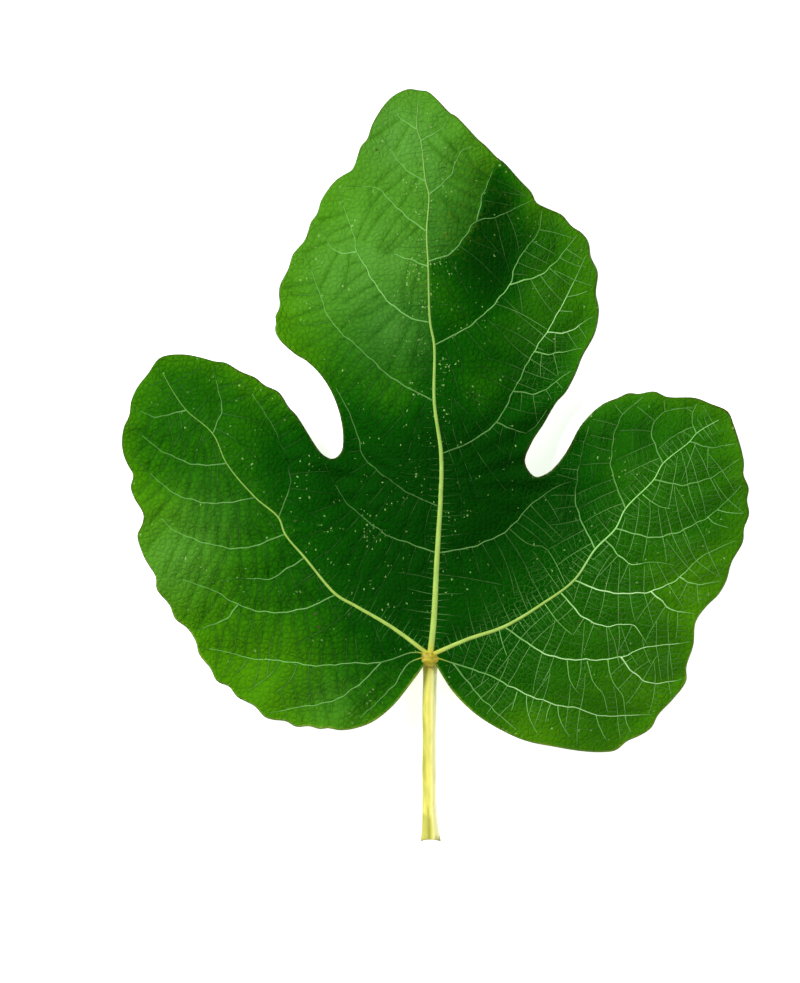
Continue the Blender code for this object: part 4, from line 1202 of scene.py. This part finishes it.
def vein_net_group():
    """The net of the finest veins: the borders of a warped cell pattern, and the swell inside them.

    Line is the width of a border as a share of a cell.
    """
    name = "Vein Net"
    if name in bpy.data.node_groups:
        return bpy.data.node_groups[name]
    tree, inside, outside = new_group(name, {"Cells per Metre": 660.0, "Line": 0.06}, ["Net", "Swell"])
    cells = add(tree, "TexVoronoi", {
        "Vector": warped_place(tree, 380.0, 0.0016, 0.5), "Randomness": 0.9,
        "Scale": inside.outputs["Cells per Metre"],
    }, voronoi_dimensions="2D", feature="DISTANCE_TO_EDGE")
    border = calculate(tree, "DIVIDE", cells.outputs["Distance"], inside.outputs["Line"])
    net = calculate(tree, "SUBTRACT", 1.0, border, clamp=True)
    swell = calculate(tree, "POWER", spread(tree, cells.outputs["Distance"], 0.0, 0.35), 0.6)
    tree.links.new(net, outside.inputs["Net"])
    tree.links.new(swell, outside.inputs["Swell"])
    return tree


def specks_group():
    """Small round specks, some of the cells only: Share is the share of cells that hold one."""
    name = "Specks"
    if name in bpy.data.node_groups:
        return bpy.data.node_groups[name]
    tree, inside, outside = new_group(name, {"Cells per Metre": 1250.0, "Size": 0.21, "Share": 0.3},
                                      ["Specks"])
    place = warped_place(tree, 1900.0, 0.0011, 0.0)
    cells = add(tree, "TexVoronoi", {"Vector": place, "Scale": inside.outputs["Cells per Metre"]},
                voronoi_dimensions="2D")
    draw = add(tree, "SeparateColor", {"Color": cells.outputs["Color"]}).outputs
    size = times(tree, inside.outputs["Size"], spread(tree, draw["Green"], 0.0, 1.0, 0.4, 1.5))
    dot = calculate(tree, "LESS_THAN", cells.outputs["Distance"], size)
    bright = spread(tree, draw["Blue"], 0.0, 1.0, 0.3, 1.0)
    chosen = calculate(tree, "LESS_THAN", draw["Red"], inside.outputs["Share"])
    tree.links.new(times(tree, dot, bright, chosen), outside.inputs["Specks"])
    return tree


def mottle_group():
    """Soft uneven patches, from -1 to 1."""
    name = "Mottling"
    if name in bpy.data.node_groups:
        return bpy.data.node_groups[name]
    tree, inside, outside = new_group(name, {"Scale": 120.0, "Detail": 4.0}, ["Mottling"])
    noise = add(tree, "TexNoise", {
        "Vector": add(tree, "TexCoord").outputs["Object"], "Roughness": 0.6,
        "Scale": inside.outputs["Scale"], "Detail": inside.outputs["Detail"],
    })
    value = spread(tree, noise.outputs["Fac"], 0.3, 0.7, -1.0, 1.0)
    tree.links.new(value, outside.inputs["Mottling"])
    return tree


def mottling(tree, scale, detail=4.0):
    inputs = {"Scale": scale, "Detail": detail}
    return add(tree, "Group", inputs, node_tree=mottle_group()).outputs[0]


def bump(tree, shader, height, strength, distance):
    """Bends a shader's normal by a height."""
    node = add(tree, "Bump", {"Height": height, "Strength": strength, "Distance": distance})
    tree.links.new(node.outputs["Normal"], shader.inputs["Normal"])


def new_material(name, roughness, level):
    """A plain material with its node tree and its Principled shader."""
    material = bpy.data.materials.new(name)
    material.use_nodes = True
    shader = material.node_tree.nodes["Principled BSDF"]
    shader.inputs["Roughness"].default_value = roughness
    shader.inputs["Specular IOR Level"].default_value = level
    return material, material.node_tree, shader


def greens(tree, look, tone):
    """The blade's green for a tone from 0 to 1."""
    node = add(tree, "ValToRGB", {"Fac": tone})
    ramp = node.color_ramp
    ramp.elements[0].color = solid(look.deep_green)
    ramp.elements[1].color = solid(look.young_green)
    for place, colour in ((0.35, look.shade_green), (0.6, look.mid_green)):
        ramp.elements.new(place).color = solid(colour)
    return node.outputs["Color"]


def blade_material(settings):
    """The blade: greens by tone with painted light and shade, a pale net, a painted sheen, painted shade in
    the grooves, specks, a brown rim, a dull pale underside.
    """
    look = settings.colours
    material, tree, shader = new_material("blade", 0.42, 0.005)
    mottle, fine = mottling(tree, 150.0), mottling(tree, 900.0)
    net = add(tree, "Group", node_tree=vein_net_group())
    lines, swell = net.outputs["Net"], net.outputs["Swell"]
    net_here, painted_sheen, groove = [attribute(tree, name) for name in ("net", "painted_sheen", "groove_mm")]

    tone = calculate(tree, "MULTIPLY_ADD", mottle, 0.05, attribute(tree, "tone"))
    tone = calculate(tree, "MULTIPLY_ADD", fine, 0.045, tone)
    # Painted shade at the borders of the net's cells and painted light on the swellings inside them
    tone = calculate(tree, "ADD", tone, spread(tree, swell, 0.0, 1.0, -0.1, 0.035))
    colour = greens(tree, look, tone)
    colour = blend_colours(tree, times(tree, lines, net_here, 0.5), colour, look.net_green)

    # Painted sheen: greyish green stands in for light on the left halves, weaker in the grooves
    painted_sheen_share = times(tree, painted_sheen, spread(tree, mottle, -1.0, 1.0, 0.6, 1.0),
                 spread(tree, groove, 0.2, 1.2, 0.6, 1.0), 0.8)
    colour = blend_colours(tree, painted_sheen_share, colour, look.painted_sheen)
    # Painted shade in the grooves along the fine veins where the net is not pale, weaker under the painted
    # sheen
    plain = calculate(tree, "SUBTRACT", 1.0, net_here, clamp=True)
    painted_crease_shade = times(tree, spread(tree, groove, 0.0, 0.9, 1.0, 0.0), plain,
                   spread(tree, painted_sheen, 0.0, 0.7, 1.0, 0.35), 0.42)
    colour = blend_colours(tree, painted_crease_shade, colour, look.deep_green)
    rusty = times(tree, attribute(tree, "rust"), spread(tree, fine, 0.0, 0.9), 0.6)
    colour = blend_colours(tree, rusty, colour, look.rust)

    clumps = spread(tree, mottling(tree, 170.0, 3.0), 0.0, 0.9, 0.02, 0.7)
    share = times(tree, attribute(tree, "speckle"), clumps)
    specks = add(tree, "Group", {"Share": share}, node_tree=specks_group())
    colour = blend_colours(tree, specks.outputs[0], colour, look.speck)

    rim = times(tree, spread(tree, attribute(tree, "edge_mm"), 0.1, 0.7, 1.0, 0.0),
                spread(tree, mottle, -0.4, 0.8, 0.25, 0.8))
    rim_colour = blend_colours(tree, attribute(tree, "pale_rim"), look.rim_brown, look.rim_pale)
    colour = blend_colours(tree, rim, colour, rim_colour)
    below = blend_colours(tree, times(tree, lines, 0.35), look.under_green, look.vein)
    colour = blend_colours(tree, attribute(tree, "upper"), below, colour)
    tree.links.new(colour, shader.inputs["Base Color"])
    tree.links.new(calculate(tree, "MULTIPLY_ADD", mottle, 0.05, 0.46), shader.inputs["Roughness"])
    height = calculate(tree, "MULTIPLY_ADD", swell, 0.6, times(tree, fine, 0.25))
    bump(tree, shader, height, 0.75, 0.0004)
    return material


def rib_material(settings):
    """Main ribs: pale yellow-green, greener towards their tips."""
    look = settings.colours
    if "main ribs" in bpy.data.materials:
        return bpy.data.materials["main ribs"]
    material, tree, shader = new_material("main ribs", 0.42, 0.2)
    mottle = mottling(tree, 500.0)
    share = calculate(tree, "MULTIPLY_ADD", mottle, 0.12, attribute(tree, "pale"))
    colour = blend_colours(tree, share, look.vein_dull, look.rib)
    colour = blend_colours(tree, attribute(tree, "outer"), colour, look.vein)
    colour = blend_colours(tree, attribute(tree, "gold"), colour, look.hub_gold)
    tree.links.new(colour, shader.inputs["Base Color"])
    bump(tree, shader, mottle, 0.3, 0.0001)
    return material


def vein_material(settings):
    """Side ribs and fine veins: from the blade's green, darkened as painted shade and with its painted
    sheen, to pale green, by how pale each one is.
    """
    look = settings.colours
    if "fine veins" in bpy.data.materials:
        return bpy.data.materials["fine veins"]
    material, tree, shader = new_material("fine veins", 0.45, 0.005)
    share = calculate(tree, "MULTIPLY_ADD", mottling(tree, 300.0), 0.08, attribute(tree, "pale"), clamp=True)
    # Painted shade: where they are not pale, the veins take the blade's green darkened by 0.24, as if lying
    # in their grooves
    tone = calculate(tree, "SUBTRACT", attribute(tree, "tone"), 0.24)
    # Painted sheen at 0.3 of its strength on the blade
    painted_sheen_share = times(tree, attribute(tree, "painted_sheen"), 0.3)
    colour = blend_colours(tree, painted_sheen_share, greens(tree, look, tone), look.painted_sheen)
    colour = blend_colours(tree, share, colour, look.vein)
    colour = blend_colours(tree, spread(tree, share, 0.72, 1.0, 0.0, 0.8), colour, look.vein_bright)
    colour = blend_colours(tree, attribute(tree, "gold"), colour, look.hub_gold)
    tree.links.new(colour, shader.inputs["Base Color"])
    return material


def stalk_material(settings):
    """The stalk: pale yellow-green with olive blotches, painted shade on its left side, a painted highlight
    on its right flank, and a brown, dry cut.
    """
    look = settings.colours
    material, tree, shader = new_material("stalk", 0.4, 0.25)
    place = add(tree, "TexCoord").outputs["Object"]
    long_way = add(tree, "Mapping", {"Vector": place, "Scale": (1.0, 0.22, 1.0)}).outputs["Vector"]
    streaks, blotches, patches = [
        add(tree, "TexNoise", {"Vector": long_way, "Scale": scale, "Detail": detail}).outputs["Fac"]
        for scale, detail in ((900.0, 5.0), (420.0, 3.0), (300.0, 4.0))
    ]
    left, along = attribute(tree, "left"), attribute(tree, "along")

    # Olive: partly the stalk's own blotches, partly painted shade in patches down its left side and on the
    # left of the foot
    olive = times(tree, spread(tree, blotches, 0.52, 0.68), spread(tree, along, 0.0, 0.5, 1.0, 0.45))
    shaded = times(tree, spread(tree, left, 0.35, 0.8), spread(tree, patches, 0.38, 0.58, 0.45, 1.0))
    slanted = calculate(tree, "MULTIPLY_ADD", left, -0.06, along)
    foot = times(tree, spread(tree, slanted, 0.09, 0.15, 1.0, 0.0), spread(tree, left, 0.3, 0.55),
                 spread(tree, patches, 0.3, 0.5, 0.75, 1.0))
    olive = calculate(tree, "MAXIMUM", olive, calculate(tree, "MAXIMUM", shaded, foot))

    # Painted highlight: whitish yellow on the stalk's right flank, where the light falls
    painted_highlight_share = spread(tree, left, 0.0, 0.5, 0.9, 0.0)
    colour = blend_colours(tree, painted_highlight_share, look.stalk, look.stalk_pale)
    streak = times(tree, spread(tree, streaks, 0.45, 0.75, 0.0, 0.35),
                   spread(tree, left, 0.1, 0.5, 0.3, 1.0))
    colour = blend_colours(tree, streak, colour, look.rib)
    colour = blend_colours(tree, olive, colour, look.olive)
    colour = blend_colours(tree, spread(tree, along, 0.93, 0.99), colour, look.hub_gold)
    colour = blend_colours(tree, attribute(tree, "cut"), colour, look.cut_brown)
    tree.links.new(colour, shader.inputs["Base Color"])
    bump(tree, shader, streaks, 0.35, 0.0002)
    return material


def hub_material(settings):
    """The knot: golden brown with darker, uneven patches."""
    look = settings.colours
    material, tree, shader = new_material("hub knot", 0.5, 0.3)
    mottle = mottling(tree, 900.0)
    colour = blend_colours(tree, spread(tree, mottle, -1.0, 1.0), look.hub_dark, look.hub_gold)
    tree.links.new(colour, shader.inputs["Base Color"])
    bump(tree, shader, mottle, 0.4, 0.0001)
    return material


def spot_material(settings):
    """The brown spots, with some green between the brown."""
    look = settings.colours
    material, tree, shader = new_material("brown spots", 0.6, 0.2)
    share = spread(tree, mottling(tree, 1500.0), -1.0, 1.0, 0.0, 0.6)
    colour = blend_colours(tree, share, look.rim_brown, look.mid_green)
    tree.links.new(colour, shader.inputs["Base Color"])
    return material


# The stage

# The photo's frame and hub in pixels, its scale, the camera's sensor and the leaf's middle height
# in millimetres, and the gap under the leaf in metres
PHOTO_WIDTH, PHOTO_HEIGHT = 800, 983
HUB_PIXEL = (430.0, 655.0)
MM_PER_PIXEL = 150.0 / 567.0
SENSOR = 36.0
MIDDLE_HEIGHT = 5.5
FLOOR_GAP = 0.0002


def make_camera(stage):
    """A long lens that looks straight down, framed as the photo is."""
    wide = PHOTO_HEIGHT * MM_PER_PIXEL * MM
    middle = np.array([PHOTO_WIDTH / 2 - HUB_PIXEL[0], HUB_PIXEL[1] - PHOTO_HEIGHT / 2])
    x, y = (middle * MM_PER_PIXEL + HUB) * MM
    data = bpy.data.cameras.new("camera")
    data.lens = stage.lens
    data.sensor_width = SENSOR
    data.clip_start, data.clip_end = 0.01, 20.0
    camera = bpy.data.objects.new("camera", data)
    camera.location = (x, y, MIDDLE_HEIGHT * MM + wide * stage.lens / SENSOR)
    bpy.context.scene.collection.objects.link(camera)
    bpy.context.scene.camera = camera


def make_light(name, place, size, power):
    """A square soft light that faces the middle of the leaf."""
    data = bpy.data.lights.new(name, "AREA")
    data.size = size
    data.energy = power
    light = bpy.data.objects.new(name, data)
    light.location = place
    light.rotation_euler = (-Vector(place)).to_track_quat("-Z", "Y").to_euler()
    bpy.context.scene.collection.objects.link(light)


def make_stage(stage):
    """A pale floor under the leaf, soft lights, a plain world and the camera."""
    mesh = bpy.data.meshes.new("floor")
    shape = bmesh.new()
    bmesh.ops.create_grid(shape, x_segments=1, y_segments=1, size=4.0)
    shape.to_mesh(mesh)
    shape.free()
    floor = bpy.data.objects.new("floor", mesh)
    floor.data.transform(Matrix.Translation((0.0, 0.0, -FLOOR_GAP)))
    bpy.context.scene.collection.objects.link(floor)
    material, _, shader = new_material("floor", 0.9, 0.0)
    shader.inputs["Base Color"].default_value = solid(stage.floor)
    shader.inputs["Emission Color"].default_value = (1.0, 1.0, 1.0, 1.0)
    shader.inputs["Emission Strength"].default_value = stage.floor_glow
    floor.data.materials.append(material)
    world = bpy.data.worlds.new("studio")
    world.use_nodes = True
    background = world.node_tree.nodes["Background"]
    background.inputs["Color"].default_value = (1.0, 1.0, 1.0, 1.0)
    background.inputs["Strength"].default_value = stage.ambient
    bpy.context.scene.world = world
    make_light("key", (-0.8, 0.55, 0.8), 0.45, stage.key)
    make_light("fill", (0.9, -0.3, 0.9), 1.2, stage.fill)
    make_camera(stage)
    bpy.context.scene.view_settings.view_transform = "Standard"


# The add-on


def colour_property(name, description, default):
    return FloatVectorProperty(
        name=name, description=description, default=default, size=3, min=0.0, max=1.0, subtype="COLOR",
    )


class LeafSizes(bpy.types.PropertyGroup):
    """Sizes in millimetres"""

    thickness: FloatProperty(
        name="Thickness", description="Thickness of the blade in millimetres", default=0.52, min=0.2, max=0.7
    )
    groove: FloatProperty(
        name="Groove Depth", description="Depth of the grooves along fine veins in millimetres",
        default=0.3, min=0.0, max=0.4,
    )
    crinkle: FloatProperty(
        name="Crinkle", description="Height of the small uneven swellings in millimetres",
        default=0.1, min=0.0, max=0.3,
    )
    rung_spacing: FloatProperty(
        name="Rung Spacing", description="Distance between neighbouring fine veins in millimetres",
        default=3.4, min=2.0, max=10.0,
    )
    seed: IntProperty(name="Seed", description="Start of the random draws", default=7, min=0)


class LeafColours(bpy.types.PropertyGroup):
    """Colours of the leaf"""

    deep_green: colour_property("Deep Green", "Darkest green of the upper face", (0.001, 0.033, 0.0006))
    shade_green: colour_property("Shade Green", "Dark green of the upper face", (0.0024, 0.062, 0.0006))
    mid_green: colour_property("Mid Green", "Middle green of the upper face", (0.0145, 0.113, 0.0012))
    young_green: colour_property("Young Green", "Lightest green, at the edges", (0.056, 0.215, 0.0014))
    under_green: colour_property("Underside", "Dull green of the lower face", (0.15, 0.27, 0.09))
    # Painted sheen: greyish green that stands in for light on the left halves of the lobes
    painted_sheen: colour_property("Bloom", "Greyish green painted sheen", (0.1, 0.28, 0.052))
    net_green: colour_property("Net", "Pale net of the finest veins", (0.09, 0.3, 0.035))
    vein: colour_property("Veins", "Pale green of the side ribs", (0.32, 0.7, 0.19))
    vein_bright: colour_property("Bright Veins", "Whitish green of the palest side ribs", (0.55, 0.86, 0.4))
    vein_dull: colour_property("Dull Veins", "Green of the ribs near their tips", (0.1, 0.3, 0.045))
    rib: colour_property("Main Ribs", "Yellow-green of the main ribs", (0.4, 0.56, 0.1))
    stalk: colour_property("Stalk", "Pale yellow-green of the stalk", (0.95, 0.88, 0.19))
    # Painted highlight on the stalk's right flank
    stalk_pale: colour_property("Stalk Highlight", "Whitish yellow painted highlight on the stalk's right side", (1.0, 1.0, 0.6))
    # Olive of the stalk's blotches and of the painted shade on its left side
    olive: colour_property("Olive", "Olive blotches, and painted shade on the stalk's left side", (0.36, 0.36, 0.05))
    hub_gold: colour_property("Knot", "Golden brown of the knot at the hub", (0.5, 0.42, 0.02))
    hub_dark: colour_property("Knot Shade", "Darker patches on the knot", (0.22, 0.17, 0.01))
    cut_brown: colour_property("Cut", "Brown of the stalk's cut foot", (0.2, 0.11, 0.03))
    rim_brown: colour_property("Rim", "Brown of the blade's rim and spots", (0.06, 0.03, 0.01))
    rust: colour_property("Rust", "Brownish tint beside the upper midrib", (0.07, 0.1, 0.004))
    rim_pale: colour_property("Pale Rim", "Yellow-green of the rim near the base", (0.3, 0.4, 0.04))
    speck: colour_property("Specks", "Pale specks on the upper face", (0.25, 0.42, 0.12))


class LeafStage(bpy.types.PropertyGroup):
    """Floor, lights and camera"""

    floor: colour_property("Floor", "Colour of the floor", (0.85, 0.85, 0.85))
    floor_glow: FloatProperty(
        name="Floor Glow", description="Light that the floor gives itself", default=0.76, min=0.0, max=1.0
    )
    ambient: FloatProperty(
        name="Ambient", description="Brightness of the plain world", default=0.2, min=0.0, max=2.0
    )
    key: FloatProperty(
        name="Key Light", description="Power of the light from the upper left", default=22.0,
        min=0.0, max=200.0, unit="POWER",
    )
    fill: FloatProperty(
        name="Fill Light", description="Power of the light from the right", default=8.0,
        min=0.0, max=200.0, unit="POWER",
    )
    lens: FloatProperty(
        name="Lens", description="Focal length of the camera in millimetres", default=200.0,
        min=50.0, max=400.0,
    )


class Settings:
    """The scene's sizes and colours, with the fine veins that several pieces share."""

    def __init__(self, scene):
        self.sizes = scene.leaf_sizes
        self.colours = scene.leaf_colours
        self.veins = fine_veins(self.sizes.rung_spacing, self.sizes.seed)
        self.relief = Relief(self.sizes, self.veins["rungs"])


class LEAF_OT_blade(bpy.types.Operator):
    """Build the blade with its relief and its veined surface"""

    bl_idname = "fig_leaf.blade"
    bl_label = "Blade"

    def execute(self, context):
        make_blade(Settings(context.scene))
        return {"FINISHED"}


class LEAF_OT_ribs(bpy.types.Operator):
    """Build the main ribs and side ribs, below and above the blade"""

    bl_idname = "fig_leaf.ribs"
    bl_label = "Ribs"

    def execute(self, context):
        make_ribs(Settings(context.scene))
        return {"FINISHED"}


class LEAF_OT_fine_veins(bpy.types.Operator):
    """Build the rungs, twigs, rib ends, comb teeth and cross veins on the upper face"""

    bl_idname = "fig_leaf.fine_veins"
    bl_label = "Fine Veins"

    def execute(self, context):
        make_fine_veins(Settings(context.scene))
        return {"FINISHED"}


class LEAF_OT_stalk(bpy.types.Operator):
    """Build the stalk with its cut foot, and the knot at the hub"""

    bl_idname = "fig_leaf.stalk"
    bl_label = "Stalk and Knot"

    def execute(self, context):
        settings = Settings(context.scene)
        make_stalk(settings)
        make_hub(settings)
        return {"FINISHED"}


class LEAF_OT_spots(bpy.types.Operator):
    """Build the brown spots on the upper face"""

    bl_idname = "fig_leaf.spots"
    bl_label = "Spots"

    def execute(self, context):
        make_spots(Settings(context.scene))
        return {"FINISHED"}


class LEAF_OT_stage(bpy.types.Operator):
    """Set up the floor, the lights, the world and the camera"""

    bl_idname = "fig_leaf.stage"
    bl_label = "Stage"

    def execute(self, context):
        make_stage(context.scene.leaf_stage)
        return {"FINISHED"}


OPERATORS = (
    LEAF_OT_blade, LEAF_OT_ribs, LEAF_OT_fine_veins, LEAF_OT_stalk, LEAF_OT_spots, LEAF_OT_stage,
)


class LEAF_PT_panel(bpy.types.Panel):
    """Lists the sizes, the colours and the steps"""

    bl_label = "Fig Leaf"
    bl_idname = "LEAF_PT_panel"
    bl_space_type = "VIEW_3D"
    bl_region_type = "UI"
    bl_category = "Fig Leaf"

    def draw(self, context):
        for group in (context.scene.leaf_sizes, context.scene.leaf_colours, context.scene.leaf_stage):
            box = self.layout.box()
            for name in group.__annotations__:
                box.prop(group, name)
        for operator in OPERATORS:
            self.layout.operator(operator.bl_idname)


GROUPS = (LeafSizes, LeafColours, LeafStage)


def register():
    for item in (*GROUPS, *OPERATORS, LEAF_PT_panel):
        bpy.utils.register_class(item)
    bpy.types.Scene.leaf_sizes = PointerProperty(type=LeafSizes)
    bpy.types.Scene.leaf_colours = PointerProperty(type=LeafColours)
    bpy.types.Scene.leaf_stage = PointerProperty(type=LeafStage)


def unregister():
    del bpy.types.Scene.leaf_sizes, bpy.types.Scene.leaf_colours, bpy.types.Scene.leaf_stage
    for item in reversed((*GROUPS, *OPERATORS, LEAF_PT_panel)):
        bpy.utils.unregister_class(item)


def main():
    register()
    bpy.ops.fig_leaf.stage()
    bpy.ops.fig_leaf.blade()
    bpy.ops.fig_leaf.ribs()
    bpy.ops.fig_leaf.fine_veins()
    bpy.ops.fig_leaf.stalk()
    bpy.ops.fig_leaf.spots()
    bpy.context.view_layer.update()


if __name__ == "__main__":
    main()
